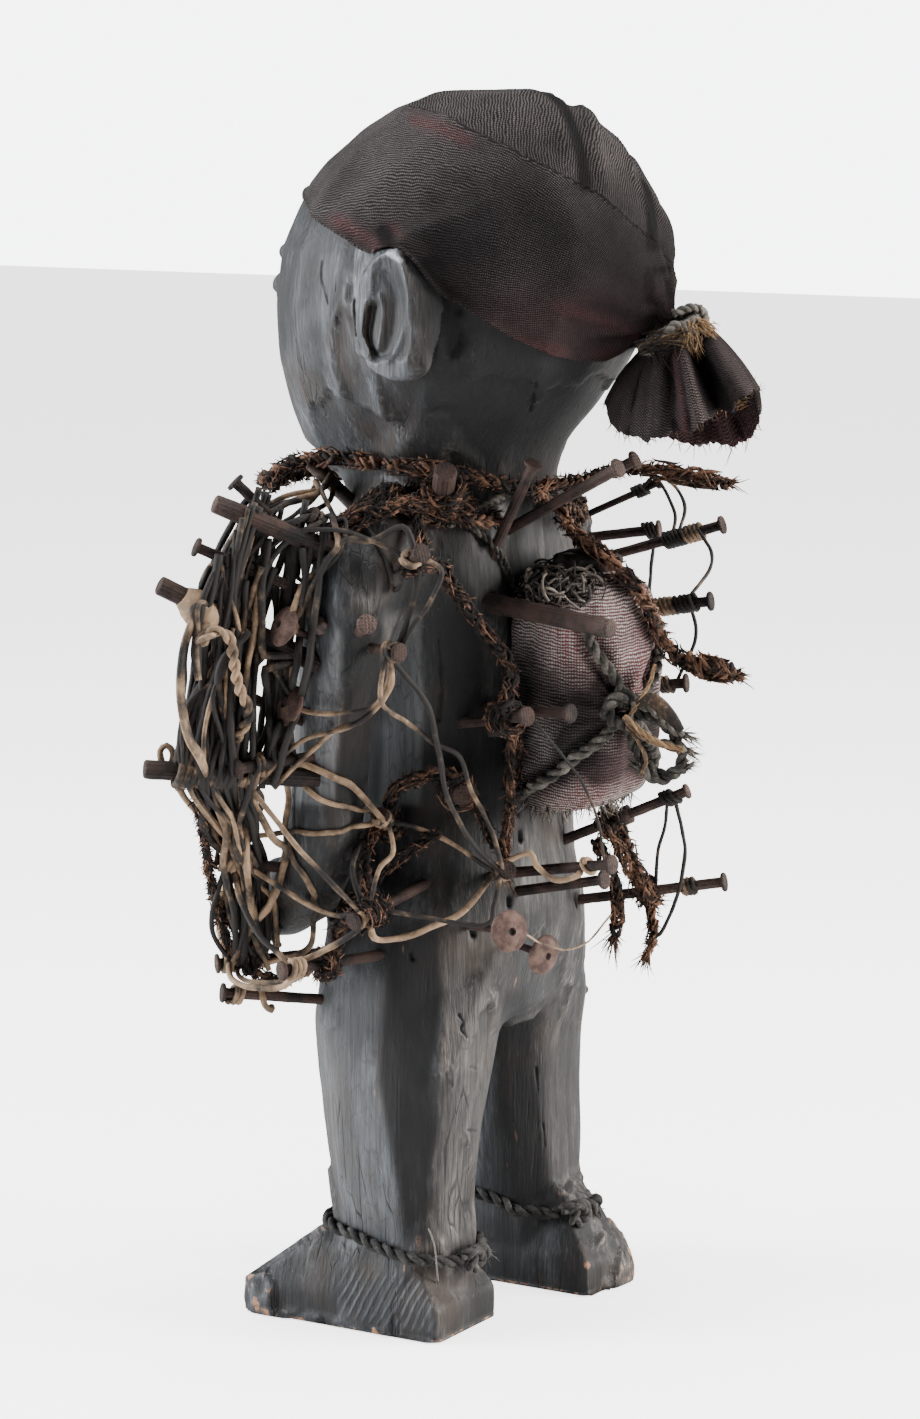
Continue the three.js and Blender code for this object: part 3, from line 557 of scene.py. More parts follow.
# Splits, knots and nicks: places in the lens's frame, half width and depth in millimetres.
GASHES = (
    (((322, 262), (321, 277), (325, 292), (328, 304)), 0.5, 1.1),
    (((329, 336), (332, 350)), 0.35, 0.8),
    (((337, 276), (334, 306), (338, 318)), 0.4, 0.9),
    (((357, 300), (357, 318), (359, 336)), 0.6, 1.4),
    (((517, 808), (518, 815)), 0.9, 2.2),
    (((520, 832), (521, 840)), 0.9, 2.2),
    (((562, 814), (563, 840)), 0.8, 2.0),
    (((510, 899), (510, 905)), 1.0, 2.4),
    (((575, 896), (576, 906)), 1.0, 2.2),
    (((472, 928), (474, 935)), 1.1, 2.2),
    (((459, 1015), (463, 1022), (461, 1029), (467, 1037)), 0.45, 1.1),
    (((411, 954), (412, 959)), 0.9, 2.0),
    (((469, 1067), (478, 1070)), 0.4, 1.0),
    (((468, 1130), (476, 1132)), 0.4, 0.8),
    (((536, 1068), (538, 1090)), 0.4, 1.0),
    (((543, 1124), (545, 1146)), 0.4, 0.8),
    (((536, 382), (533, 398), (531, 410)), 0.7, 1.4),
    (((438, 640), (441, 690), (438, 720)), 0.7, 1.2),
)
GASH_REACH = 60 * MM


def close_to(rows, path):
    """Which places are in the box round a path's middle, and how far each is from the path."""
    close = np.flatnonzero(np.abs(rows - path.mean(axis=0)).max(axis=1) < GASH_REACH)
    return close, apart_from(rows[close], path)


tree = tree_of(wood)
gashes = [(drawn(tree, stops, 40), wide * MM, deep * MM) for stops, wide, deep in GASHES]
for reach in (3.4, 2.4):
    rows = rows_of(wood)
    near_gash = np.zeros(len(rows), bool)
    for path, wide, _ in gashes:
        close, apart = close_to(rows, path)
        near_gash[close] |= apart < wide + reach * MM
    refine(wood, near_gash)
rows, normals = rows_of(wood), rows_of(wood, "normal")
cut = np.zeros(len(rows))
for path, wide, deep in gashes:
    close, apart = close_to(rows, path)
    ragged = 1 + 0.55 * noise(rows[close], 5 * MM, 13, 2)
    cut[close] += hill(apart, wide * 1.1 * ragged) * deep * np.clip(ragged, 0.3, 1.3)
rows -= normals * cut[:, None]

# The ears: a raised rim that ends in a flat lobe, an inner ridge, a shallow hollow between them, and
# the deep slot of the ear hole in front. Each is a line in the lens's frame with a half width in it.
RIM_LINE = (
    (374, 291), (375, 268), (385, 256), (399, 254), (408, 272), (412, 298), (410, 320), (404, 341), (395, 360)
)
INNER_RIDGE = ((384, 295), (388, 306), (387, 322), (384, 337), (381, 348))
HOLLOW_LINE = ((386, 274), (397, 294), (397, 318), (391, 341), (385, 353))
SLOT_LINE = ((375, 307), (372, 320), (370, 335), (373, 348), (379, 356))
TRAGUS_LINE = ((367, 304), (365, 320), (364, 336))
EAR_WAY = np.array((0.94, -0.34, 0))
HOLE_WAY = np.array((0.86, 0.51, 0))
out = mirrored(rows)
ear = inside(out, *EAR_BOX)
away_side = np.where(rows[:, 0] < AXIS[0], -1, 1)
across, back, high = out[ear].T
wide_behind = (3.6 - 9 * rise(across, 78, 91)) * rise(back, 4, 15)
wide_below = (back + 3) * 0.75 * hill(high - 447, 7) - 3.4 * hill(high - 450, 9) * rise(across, 80, 90)
rows[ear, 1] += (wide_behind + wide_below) * MM
rows[ear, 1] -= 1.6 * MM * rise(-back, -3, 9)
out = mirrored(rows)[ear] * MM + AXIS
place = pictured(out)
ones = np.ones(ear.sum())
turned_left = normals[ear] * np.stack([away_side[ear], ones, ones], axis=1)
front = rise(turned_left @ EAR_WAY, 0.1, 0.5)
middle = hill(out[:, 1] - AXIS[1] - 3 * MM, 10 * MM) * hill(out[:, 2] - 480 * MM, 22 * MM)
lift = 2.6 * middle + 1.7 * hill(beside(place, RIM_LINE), 3.6) + 1.6 * hill(beside(place, INNER_RIDGE), 3)
lift += 1.2 * hill(beside(place, TRAGUS_LINE), 2.6) - 1.6 * hill(beside(place, HOLLOW_LINE), 4.2)
lift += 1.8 * rise(-out[:, 2] / MM, -462, -457)
sunk = 5.5 * front * hill(beside(place, SLOT_LINE), 4)
moved = EAR_WAY * (lift * front)[:, None] - HOLE_WAY * sunk[:, None]
moved[:, 0] *= away_side[ear]
rows[ear] += moved * MM
bare_and_lit = np.zeros(len(rows))
bare_and_lit[ear] = front * rise(beside(place, ((396, 252), (404, 256))), 8, 5) * (place[:, 1] < 264)
lightened = np.zeros(len(rows))
rubbed = 0.3 + 0.7 * hill(beside(place, RIM_LINE), 3.5) + 0.6 * hill(beside(place, INNER_RIDGE), 3)
lightened[ear] = front * (rubbed + (place[:, 1] > 356))

# The face, calm and plain: heavy half-closed lids, a broad nose and full closed lips.
across, back, high = mirrored(rows).T
forward = rise(-normals[:, 1], 0.1, 0.6) * (back < -62) * (high > 408)
lid = ((across - 27) / 13) ** 2 + ((high - 485) / 8) ** 2
face = 1.4 * np.sqrt(np.clip(1 - lid, 0, 1))
face -= 1.3 * hill(high - 482 - 0.02 * (across - 27) ** 2, 1.1) * (lid < 0.9)
face += 1.4 * hill(high - 500 - 0.012 * (across - 22) ** 2 * (across > 22), 3.6) * rise(-across, -44, -34)
face -= 1.6 * hill(across - 16, 5) * hill(high - 486, 10)
mouth = high - 447 - 1.6 * np.cos(across / 7) * (across < 22)
lips = hill(mouth - 4.4, 3.2) + 0.9 * hill(mouth + 4.2, 3.4)
face += 3 * lips * rise(-across, -22, -10) - 2 * hill(mouth, 1.1) * rise(-across, -24, -19)
face += 2.2 * hill(across - 10, 4.5) * hill(high - 466, 5)
face -= 2.2 * hill(across - 6.5, 2.2) * hill(high - 460, 2.6)
rows[:, 1] -= forward * face * MM

# Slanting chisel marks on the near foot's side, and the fingers' lines.
CHISEL_STEP = 4.4
across, back, high = ((rows - AXIS) / MM).T
slant = np.abs(np.sin(np.pi * (back - 0.5 * high + 2.0 * noise(rows, 10 * MM, 3, 1)) / CHISEL_STEP))
chiselled = rise(normals[:, 0], 0.6, 0.85) * rise(high, 4, 9) * rise(-high, -33, -25)
chiselled *= rise(across, 30, 50) * rise(-back, -24, -12) * rise(back, -34, -24)
notch = (1 - slant) ** 2 * 0.8 * MM * chiselled * (0.6 + 0.5 * noise(rows, 9 * MM, 5, 1))
rows -= normals * notch[:, None]
hand = (mirrored(rows)[:, 0] < 46) & (back < -84) & (high > 190) & (high < 222)
finger = np.abs(np.sin(np.pi * (high - 197) / 4.6))
rows -= normals * (1.0 * MM * hill(finger, 0.3) * hand * rise(-normals[:, 1], 0.2, 0.6))[:, None]
near_heel = (across > 0) * rise(-high, -60, -40) * rise(back, -12, 24)
rows[:, 1] += 3.5 * MM * near_heel
# Full places, by where they are seen: how far they stand out and how wide they are, in millimetres.
FULL = ((592, 895, 2.5, 22), (324, 1000, 6.5, 26), (346, 604, 4.5, 10))
for u, v, out, span in FULL:
    rows += normals * (out * MM * hill(about(rows, seen(tree, u, v)), span * MM))[:, None]
put_rows(wood, rows)
wood_tree = tree_of(wood)
across, back, high = ((rows - AXIS) / MM).T
temple = inside(np.stack([across, back, high], axis=1), (46, -80, 412), (96, -14, 516))
lightened += temple * rise(noise(rows * (1, 1, 0.5), 13 * MM, 21, 3), -0.1, 0.5) * 0.56
# Painted highlights: a pale spot on the shoulder's ball and a wide one on the lit lower back.
lightened += hill(about(rows, seen(tree, 348, 596)), 11 * MM) * 1.2
lightened += hill(about(rows, seen(tree, 572, 860)), 26 * MM) * 0.65
cut += temple * np.clip(noise(rows * (1, 1, 0.16), 4 * MM, 25, 2) - 0.25, 0, 1) * 0.9 * MM
put_values(wood, "cut", np.clip(cut / (1.3 * MM), 0, 1))
put_values(wood, "chiselled", chiselled)
# Painted shade, on the sides that face the lens: black at the nape and under the head, down the spine and in
# the groove by the arm.
WOOD_SHADE_LINES = (
    (((455, 300), (500, 350), (560, 400), (590, 430)), 55, 1.0), (((430, 400), (520, 440)), 40, 0.7),
    (((452, 540), (460, 640), (468, 740), (470, 800)), 30, 1.0),
    (((380, 790), (350, 900)), 30, 0.4),
)
place = pictured(rows)
to_lens = rise(rows_of(wood, "normal") @ -view, -0.1, 0.4)
painted_wood_shade = sum(hill(beside(place, stops), wide) * much for stops, wide, much in WOOD_SHADE_LINES) * to_lens
# Each flat: heights, left edges and right edges in the lens's frame, and how much painted shade or, below 0,
# how much painted sheen it gets.
FLATS = (
    (
        (930, 985, 1030, 1080, 1130, 1180, 1240), (392, 388, 385, 378, 389, 398, 405),
        (436, 441, 437, 431, 436, 427, 433), 0.85
    ),
    ((1000, 1060, 1120, 1200), (498, 500, 500, 505), (526, 532, 541, 546), 0.6),
    ((640, 720, 800), (346, 342, 338), (380, 382, 378), 0.7),
    ((625, 720, 800), (384, 386, 382), (420, 424, 420), -0.9),
    ((640, 720, 800), (272, 276, 280), (342, 338, 334), -1.0),
    ((985, 1050, 1120, 1180, 1240), (312, 316, 324, 336, 345), (384, 376, 384, 394, 400), -0.7),
    ((985, 1050, 1120, 1180, 1240), (444, 440, 440, 434, 438), (500, 498, 490, 478, 474), -0.38),
    ((1000, 1060, 1120, 1200), (546, 538, 545, 550), (590, 590, 590, 590), -0.2),
)
u, v = place.T
# Dark flats get painted shade; lit flats get painted sheen, and the most lit of them a painted bare-grey
# highlight too.
for heights, lefts, rights, much in FLATS:
    from_left = u - np.interp(v, heights, lefts)
    from_right = np.interp(v, heights, rights) - u
    between = rise(v, heights[0] - 20, heights[0]) * rise(-v, -heights[-1] - 8, -heights[-1])
    on_it = rise(from_left, -4, 4) * rise(from_right, -3, 3) * between * to_lens
    painted_wood_shade += max(much, 0) * on_it
    lightened += max(-much, 0) * on_it
    bare_and_lit += 0.4 * max(-much - 0.5, 0) * on_it
put_values(wood, "lightened", np.clip(lightened, 0, 1))
put_values(wood, "bare_and_lit", bare_and_lit)
put_values(wood, "painted_wood_shade", np.clip(painted_wood_shade, 0, 1))

blackened, shader, nodes = paint("blackened_wood")
place = nodes.place()
WOOD_MARKS = ("edge", "lightened", "bare_and_lit", "cut", "painted_wood_shade", "chiselled")
edge, lightened, bare_and_lit, cut, painted_wood_shade, chisel = (stored(nodes, name) for name in WOOD_MARKS)
grain = place.scaled((1, 1, 0.05)).noise(520, 4, 0.65)
streaks = place.scaled((1, 1, 0.1)).noise(110, 4, 0.65, 0.4)
patches = place.scaled((1, 1, 0.6)).noise(24, 4, 0.6)
scuffs = place.scaled((1, 1, 0.3)).noise(60, 5, 0.72)
scratch = place.scaled((1, 1, 0.07)).noise(340, 2, 0.5, 1.5).step(0.63, 0.7) * patches.step(0.4, 0.5)
crackle = 1 - place.scaled((1, 1, 0.3)).cracks(230).step(0.0, 0.09)
# Pale wear on scuffs, edges, scratches, the ears and the temple, and painted sheen on the shoulder, the lower
# back and the lit flats.
wear_and_sheen = scuffs.step(0.46, 0.66) * 0.65 + edge.step(0.2, 1.0) * 0.45 + lightened * 0.8 + scratch * 0.5
marks = nodes.node("ShaderNodeVectorMath", {"operation": "DOT_PRODUCT"}, {0: place, 1: (0, 1, -0.5)}, "Value")
marks = (marks + place.noise(60, 2) * 0.003).wave(CHISEL_STEP * MM).step(0.45, 0.9) * chisel
wear_and_sheen = wear_and_sheen * (1 - chisel * 0.6) + marks * 0.55
bands = place.scaled((1, 1, 0.16)).noise(46, 3, 0.6).step(0.4, 0.6)
wear_and_sheen = wear_and_sheen * (0.25 + grain.step(0.3, 0.7) * 1.1) * (0.55 + bands * 0.8) * (1 - painted_wood_shade * 0.8)
tone = streaks.step(0.34, 0.68).mix(BLACK, CHARCOAL)
tone = (patches.step(0.48, 0.66) * 0.7).mix(tone, BROWN)
# Painted light: the sheen is grey-blue unless a facet faces rearwards, towards the warm lamp, where it turns
# brown.
rearward = nodes.node("ShaderNodeNewGeometry", out="Normal").part("Y")
wear_and_sheen_tone = rearward.step(0.15, 0.75).mix(WORN_AND_SHEEN, WORN_AND_SHEEN_BROWN)
# Painted shade turns the wood black and dulls its sheen.
tone = (painted_wood_shade * 0.95).mix((wear_and_sheen * 0.7).mix(tone, wear_and_sheen_tone), BLACK)
height = place.part("Z")
low = 1 - height.step(0.02, 0.06)
chip = edge.step(0.86, 1.0) * low * place.noise(170, 3).step(0.5, 0.62)
flakes = place.scaled((1, 1, 0.2)).noise(210, 2, 0.5).step(0.72, 0.78)
chip = chip + flakes * (1 - height.step(0.16, 0.24)) * 0.4
tone = (chip * 0.8).mix(tone, CHIPPED)
# Bare grey: real chips at the ear's top, and painted highlight on the most lit flats.
tone = (bare_and_lit * 0.9).mix(tone, BARE_AND_LIT_GREY)
tone = (crackle * lightened * scuffs.step(0.4, 0.55) * 0.42).mix(tone, BLACK)
split = place.scaled((1, 1, 0.25)).noise(38, 2).step(0.58, 0.66)
checks = 1 - (1 - place.scaled((1, 1, 0.08)).cracks(190).step(0.0, 0.06)) * split
tone = ((1 - checks) * 0.8 + cut).step(0.1, 0.9).mix(tone, SPLIT)
rough = 0.6 - wear_and_sheen * 0.22 + patches * 0.1 + painted_wood_shade * 0.2
coarse = relief(checks * 0.5 + streaks * 0.3 + scuffs * 0.2 + marks * 0.4, 1.5 * MM, 0.6)
fine = relief(grain - scratch * 0.4, 0.8 * MM, 0.8, coarse)
connect(shader, Base_Color=tone, Roughness=rough, Normal=fine, Specular_IOR_Level=0.34)
figure = piece_of("carved_figure_wood", wood, blackened)
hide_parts("carved_figure")

# Iron: hand-cut wire nails with stamped heads, sawn rods, domed tacks and thin wires, hammered into the
# wood at a slant and rusted since. The two short sticks are whittled wood.
BITE = 9 * MM
HEAD_THICKNESS = 1.8 * MM
IRON_SIDES = 14
TACK_SIDES = 26
DOME_RISE = 3.4 * MM
RING_STEP = 2.4 * MM
DARK_IRON = (0.0095, 0.0082, 0.008, 1)
RUST = (0.036, 0.0205, 0.0165, 1)
PALE_RUST = (0.1, 0.066, 0.056, 1)


def wound(rows, quads, caps, name, tone=None, uv=None):
    """A mesh from its places, its four-sided faces and its end faces."""
    flat = [np.asarray(quads).ravel()] + [np.asarray(cap).ravel() for cap in caps]
    sides = np.concatenate([np.full(len(quads), 4)] + [np.full(len(cap), cap.shape[1]) for cap in caps])
    mesh = bpy.data.meshes.new(name)
    mesh.vertices.add(len(rows))
    mesh.vertices.foreach_set("co", np.asarray(rows, np.float32).ravel())
    corners = np.concatenate(flat).astype(np.int32)
    mesh.loops.add(len(corners))
    mesh.loops.foreach_set("vertex_index", corners)
    mesh.polygons.add(len(sides))
    mesh.polygons.foreach_set("loop_start", (np.cumsum(sides) - sides).astype(np.int32))
    mesh.update(calc_edges=True)
    if tone is not None:
        put_values(mesh, "tone", np.asarray(tone))
    if uv is not None:
        layer = mesh.uv_layers.new(name="along")
        layer.data.foreach_set("uv", np.asarray(uv, np.float32)[corners].ravel())
    return mesh


def grid(rings, turns, first=0):
    """The faces of rings of points that close round, each ring joined to the next."""
    index = first + np.arange(rings * turns).reshape(rings, turns)
    after = np.roll(index, -1, axis=1)
    return np.stack([index[:-1], after[:-1], after[1:], index[1:]], axis=-1).reshape(-1, 4)


def square_to(way):
    """Two directions at right angles to a direction and to each other."""
    side = np.cross(way, (0, 0, 1) if abs(way[2]) < 0.9 else (1, 0, 0))
    side /= np.linalg.norm(side)
    return side, np.cross(way, side)


class Driven:
    """A driven piece's foot at the wood, direction, reach and girth, from its solid's corners. Of the
    three directions in which they spread, its axis is the one across which they spread evenly, and it
    points away from the figure."""

    def __init__(self, node):
        rows = np.unique(rows_of(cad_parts[node].data).round(6), axis=0)
        middle = rows.mean(axis=0)
        spread, ways = np.linalg.eigh(np.cov((rows - middle).T))
        uneven = [abs(spread[k - 2] - spread[k - 1]) / (spread[k - 2] + spread[k - 1]) for k in range(3)]
        way = ways[:, int(np.argmin(uneven))]
        far = rows[np.argmax((rows - middle) @ way)], rows[np.argmin((rows - middle) @ way)]
        out = [np.hypot(*(end - AXIS)[:2]) for end in far]
        self.way = way if out[0] > out[1] else -way
        places = (rows - middle) @ self.way
        self.foot = middle + (places.min() + BITE) * self.way
        self.reach = places.max() - places.min() - BITE
        off = np.linalg.norm(rows - middle - places[:, None] * self.way, axis=1)
        self.girth = np.median(off[places < places.min() + BITE * 0.5])
        self.head = off.max()
        self.side, self.up = square_to(self.way)

    def on(self, out, angle, off):
        """The place so far out along the axis, and off it by a distance at an angle."""
        round_it = np.cos(angle) * self.side + np.sin(angle) * self.up
        return self.foot + self.way * out + round_it * off

    def spot(self, out, angle, off):
        """The same, with both distances in millimetres."""
        return self.on(out * MM, angle, off * MM)


def turned(piece, profile, sides, seed, rough=0.035):
    """A profile of radius and place along the axis, carried round it, with a worn and pitted skin.
    A point's pattern is its place across the axis, in millimetres."""
    profile = np.asarray(profile)
    angle = np.arange(sides) * 2 * np.pi / sides
    round_it = np.cos(angle)[:, None] * piece.side + np.sin(angle)[:, None] * piece.up
    rows = piece.foot + profile[:, 1, None, None] * piece.way + profile[:, 0, None, None] * round_it
    rows = rows.reshape(-1, 3)
    pits = noise(rows, 3.2 * MM, seed, 2) * rough
    rows += (np.repeat(profile[:, 0], sides) * pits)[:, None] * np.tile(round_it, (len(profile), 1))
    index = np.arange(len(rows)).reshape(len(profile), sides)
    across = np.stack([profile[:, 0, None] * np.cos(angle), profile[:, 0, None] * np.sin(angle)], axis=-1)
    return rows, grid(len(profile), sides), [index[:1, ::-1], index[-1:]], across.reshape(-1, 2) * 1000


def shank(radius, start, end):
    """Rings of one radius, a step apart."""
    places = np.linspace(start, end, max(int((end - start) / RING_STEP), 2) + 1)
    return [(radius, place) for place in places]


def profile_of(kind, piece):
    """The radius and place along the axis of each ring of a kind of driven piece."""
    r, head, end = piece.girth, piece.head, piece.reach
    under = end - HEAD_THICKNESS
    face = [(head * 0.9, under), (head, under + 0.4 * MM), (head, end - 0.5 * MM)]
    face += [(head * 0.93, end - 0.1 * MM), (head * 0.55, end), (head * 0.15, end)]
    if kind == "tack":
        turn = np.linspace(0, 0.5 * np.pi, 8)[:-1]
        dome = [(head * np.cos(a), end - DOME_RISE * (1 - np.sin(a))) for a in turn]
        rim = [(head * 0.5, end - DOME_RISE), (head * 0.95, end - DOME_RISE - 0.5 * MM)]
        boss = [(1.9 * MM, end + 0.1 * MM), (1.7 * MM, end - 0.9 * MM), (0.4 * MM, end - 1.1 * MM)]
        return shank(r, -BITE, end - DOME_RISE - 1 * MM) + rim + dome + boss
    if kind in ("rod", "bar", "bolt", "peg"):
        tip = [(r * 0.97, end - 0.5 * MM), (r * 0.84, end)]
        tip += [(r * 0.4, end - 0.2 * MM), (r * 0.1, end - 0.2 * MM)]
        return shank(r, -BITE, end - 1.6 * MM) + tip
    return shank(r, -BITE, under) + face


rusted, shader, nodes = paint("rusted_iron")
place = nodes.place()
blotches = place.noise(70, 5, 0.65)
pits = place.noise(900, 4, 0.7)
stains = place.noise(19, 2, 0.5)
across = nodes.along()
hatch = across.part("X").wave(1.6) * across.part("Y").wave(1.6)
tone = blotches.step(0.35, 0.62).mix(DARK_IRON, RUST)
tone = (stains.step(0.5, 0.68) * pits.step(0.3, 0.6) * 0.7).mix(tone, PALE_RUST)
connect(shader, Base_Color=tone, Roughness=0.9 - blotches * 0.3, Metallic=0.1, Specular_IOR_Level=0.2)
connect(shader, Normal=relief(pits, 0.5 * MM, 0.8, relief(hatch, 0.5 * MM, 0.7)))

domed, shader, nodes = paint("domed_tack")
place = nodes.place()
centre = nodes.node("ShaderNodeVectorMath", {"operation": "LENGTH"}, {0: nodes.along()}, "Value")
tone = place.noise(150, 4, 0.65).step(0.35, 0.65).mix((0.045, 0.028, 0.024, 1), (0.11, 0.07, 0.058, 1))
tone = centre.step(1.2, 2.4).mix((0.01, 0.008, 0.008, 1), tone)
grit = relief(place.noise(500, 3), 0.3 * MM, 0.5)
connect(shader, Base_Color=tone, Roughness=0.8, Specular_IOR_Level=0.12, Normal=grit)

whittled, shader, nodes = paint("whittled_stick")
place = nodes.place()
streaks = place.noise(260, 4, 0.6)
tone = streaks.step(0.35, 0.7).mix((0.012, 0.009, 0.008, 1), (0.09, 0.055, 0.04, 1))
connect(shader, Base_Color=tone, Roughness=0.8, Normal=relief(streaks, 0.5 * MM, 0.6))

driven = {}
KINDS = ("nail", "rod", "bolt", "bar", "tack", "wire", "peg")
iron_nodes = [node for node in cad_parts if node.split("_")[0] in KINDS]
for count, node in enumerate(iron_nodes):
    driven[node] = piece = Driven(node)
    kind = node.split("_")[0]
    if kind == "tack":
        piece.head *= 1.2
    if node == "bolt_waist_back_right":
        kind = "nail"
        piece.head, disc = 3.7 * MM, piece.head
    rows, quads, caps, across = turned(
        piece, profile_of(kind, piece), TACK_SIDES if kind == "tack" else IRON_SIDES, count
    )
    if node == "bolt_waist_back_right":
        start = 0.52 * (piece.reach + BITE) - BITE
        over = start + 3.6 * MM
        ring = [(piece.girth, start), (disc, start), (disc, over), (piece.girth, over)]
        more = turned(piece, ring, IRON_SIDES, count)
        caps += [cap + len(rows) for cap in more[2]]
        quads = np.concatenate([quads, more[1] + len(rows)])
        rows, across = np.concatenate([rows, more[0]]), np.concatenate([across, more[3]])
    name = node + "_worn"
    coat = {"peg": whittled, "tack": domed}.get(kind, rusted)
    made = piece_of(name, wound(rows, quads, caps, name, uv=across), coat)
    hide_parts(node)

# Head cloth: a coarse dark kerchief with a dull red warp, drawn tight over the crown, folded over itself
# and pulled together behind. Its loose corners hang below the knot as a short open bag with torn edges.
CLOTH_COLUMNS = 330
CLOTH_ROWS = 100
CLOTH_LIFT = 1.5 * MM
CLOTH_THICKNESS = 1.1 * MM
CROWN = at((0, -6, 487))
CROWN_RADII = np.array([90, 100, 100]) * MM
# The rim's height at angles from the figure's left, through the back, in millimetres.
RIM_ANGLES = (-90, -58, -38, -18, -3, 4, 12, 20, 40, 62, 76, 90)
RIM_HEIGHTS = (538, 532, 522, 512, 505, 507, 503, 487, 465, 452, 450, 459)
GATHERED = at((0, 79, 474))
KNOT = at((0, 97, 471))
TAIL_COLUMNS = 190
TAIL_ROWS = 60
WEFT = (0.004, 0.0037, 0.004, 1)
WORN_WEFT = (0.088, 0.077, 0.0745, 1)
RED_WARP = (0.075, 0.012, 0.014, 1)


def length_of(path):
    """The length of a path of points."""
    return steps_of(path).sum()


def folded(rows, normals, route, width, height, step=0.0, reach=0.0):
    """A ridge along a route, and a step up on its left where the cloth lies double. The ridge is a bell
    across the route, and the step is a smooth rise that fades out away from it and past its ends."""
    gap = rows[:, None] - route[None]
    distance = np.linalg.norm(gap, axis=2)
    nearest = distance.argmin(axis=1)
    apart = distance[np.arange(len(rows)), nearest]
    way = np.gradient(route, axis=0)[nearest]
    left = unit(np.cross(normals, way))
    signed = ((rows - route[nearest]) * left).sum(axis=1)
    ends = np.sin(np.pi * np.clip(nearest / (len(route) - 1), 0.04, 0.96)) ** 0.5
    lift = height * hill(apart, width) * ends
    if step:
        risen = rise(signed, -0.6 * width, 0.6 * width)
        lift += step * risen * (1 - rise(apart, reach * 0.4, reach)) * ends
    return lift


angles = np.linspace(0, 2 * np.pi, CLOTH_COLUMNS, endpoint=False)
turned_by = np.degrees(np.arcsin(np.sin(angles)))
rim = np.interp(turned_by, RIM_ANGLES, RIM_HEIGHTS) * MM
rim += 0.8 * MM * noise(np.stack([np.cos(angles), np.sin(angles), 0 * angles], axis=1), 0.12, 3)
rim_rise = np.arcsin(np.clip((rim - CROWN[2]) / (92 * MM), -0.95, 0.95))
climb = np.linspace(0, 1, CLOTH_ROWS)[:, None]
lift = rim_rise + (0.5 * np.pi - 0.012 - rim_rise) * climb
rows = np.stack([np.cos(lift) * np.cos(angles), np.cos(lift) * np.sin(angles), np.sin(lift)], axis=-1)
rows = (CROWN + CROWN_RADII * rows).reshape(-1, 3)
top = np.arange(CLOTH_ROWS * CLOTH_COLUMNS).reshape(CLOTH_ROWS, CLOTH_COLUMNS)[-1:]
dome = wound(rows, grid(CLOTH_ROWS, CLOTH_COLUMNS), [top], "dome")
holder = bpy.data.objects.new("dome", dome)
bpy.context.scene.collection.objects.link(holder)
wrap = holder.modifiers.new("tight", "SHRINKWRAP")
wrap.target = figure
wrap.wrap_method = "NEAREST_SURFACEPOINT"
wrap.wrap_mode = "ABOVE_SURFACE"
wrap.offset = CLOTH_LIFT
dome = settled(holder)
relax(dome, 14, np.ones(len(dome.vertices)) * 0.8)

# Its folds are drawn in the lens's frame: the edge where it lies double, the fold of the overlap with
# the roll beside it, the pressed folds behind, the puckers above the ear and the slits at the knot.
tree = tree_of(dome)
rows, normals = rows_of(dome), rows_of(dome, "normal")
climbed = np.repeat(climb[:, 0], CLOTH_COLUMNS)
DOUBLED = (
    (405, 107), (430, 112), (464, 126), (509, 147), (555, 172), (593, 192), (627, 226), (647, 246),
    (658, 268), (664, 290)
)
FOLDS = (
    (DOUBLED, 1.7, 1.3, -1.5, 22),
    (((514, 79), (540, 86), (558, 98), (568, 116), (576, 136), (582, 157), (587, 184)), 1.7, -4.2, -1.6, 12),
    (((532, 76), (558, 86), (580, 108), (592, 138), (599, 168), (604, 194)), 5.0, 3.6, 0.0, 0),
    (((500, 84), (532, 94), (549, 110), (559, 128), (566, 148), (571, 172)), 5.0, 1.7, 0.0, 0),
    (((583, 103), (611, 134), (631, 172), (642, 203), (645, 243)), 2.4, 2.4, -2.4, 12),
    (((672, 214), (668, 236), (655, 262)), 2.6, 1.5, -1.0, 12),
    (((647, 284), (648, 298), (654, 314)), 2.0, -3.2, 0.0, 0),
    (((667, 284), (670, 296), (676, 308)), 1.8, -2.8, 0.0, 0),
    (((630, 268), (640, 290), (650, 318)), 4.0, 1.2, 0.0, 0),
    (((540, 296), (568, 310), (605, 322), (639, 335)), 2.6, 1.4, -0.9, 10),
    (((585, 350), (604, 354), (624, 352)), 2.2, 1.0, 0.0, 0),
    (((398, 246), (415, 234), (440, 223), (482, 206)), 3.0, 1.9, 0.0, 0),
    (((384, 245), (370, 236), (350, 226), (336, 222)), 3.0, 1.7, -1.0, 10),
    (((390, 248), (388, 234), (382, 218)), 3.2, -2.8, 0.0, 0),
    (((430, 252), (470, 284), (520, 312)), 5.0, 0.7, 0.0, 0),
    (((520, 190), (560, 222), (600, 252), (636, 282)), 6.0, 0.8, 0.0, 0),
)
move = 0.5 * MM * noise(rows, 26 * MM, 9, 2)
for stops, wide, tall, step, reach in FOLDS:
    route = drawn(tree, stops, 60)
    move += folded(rows, normals, route, wide * MM, tall * MM, step * MM, reach * MM)
away = rows - GATHERED
out_of_head = np.array((0, 0.995, -0.05))
level = np.linalg.norm(away, axis=1)
around = np.arctan2(away[:, 0], away[:, 2])
wave = around + 0.22 * noise(rows, 22 * MM, 5, 2)
pleats = np.cos(11 * wave) * 0.6 + np.cos(17 * wave + 1.3) * 0.4
move += pleats * 1.9 * MM * rise(level, 3 * MM, 14 * MM) * (1 - rise(level, 14 * MM, 46 * MM))
move += 1.0 * MM * hill(climbed, 0.014) - 0.5 * MM * hill(climbed - 0.04, 0.014)
rows += normals * np.maximum(move, -1.1 * MM - 2.4 * MM * rise(-level, -44 * MM, -24 * MM))[:, None]
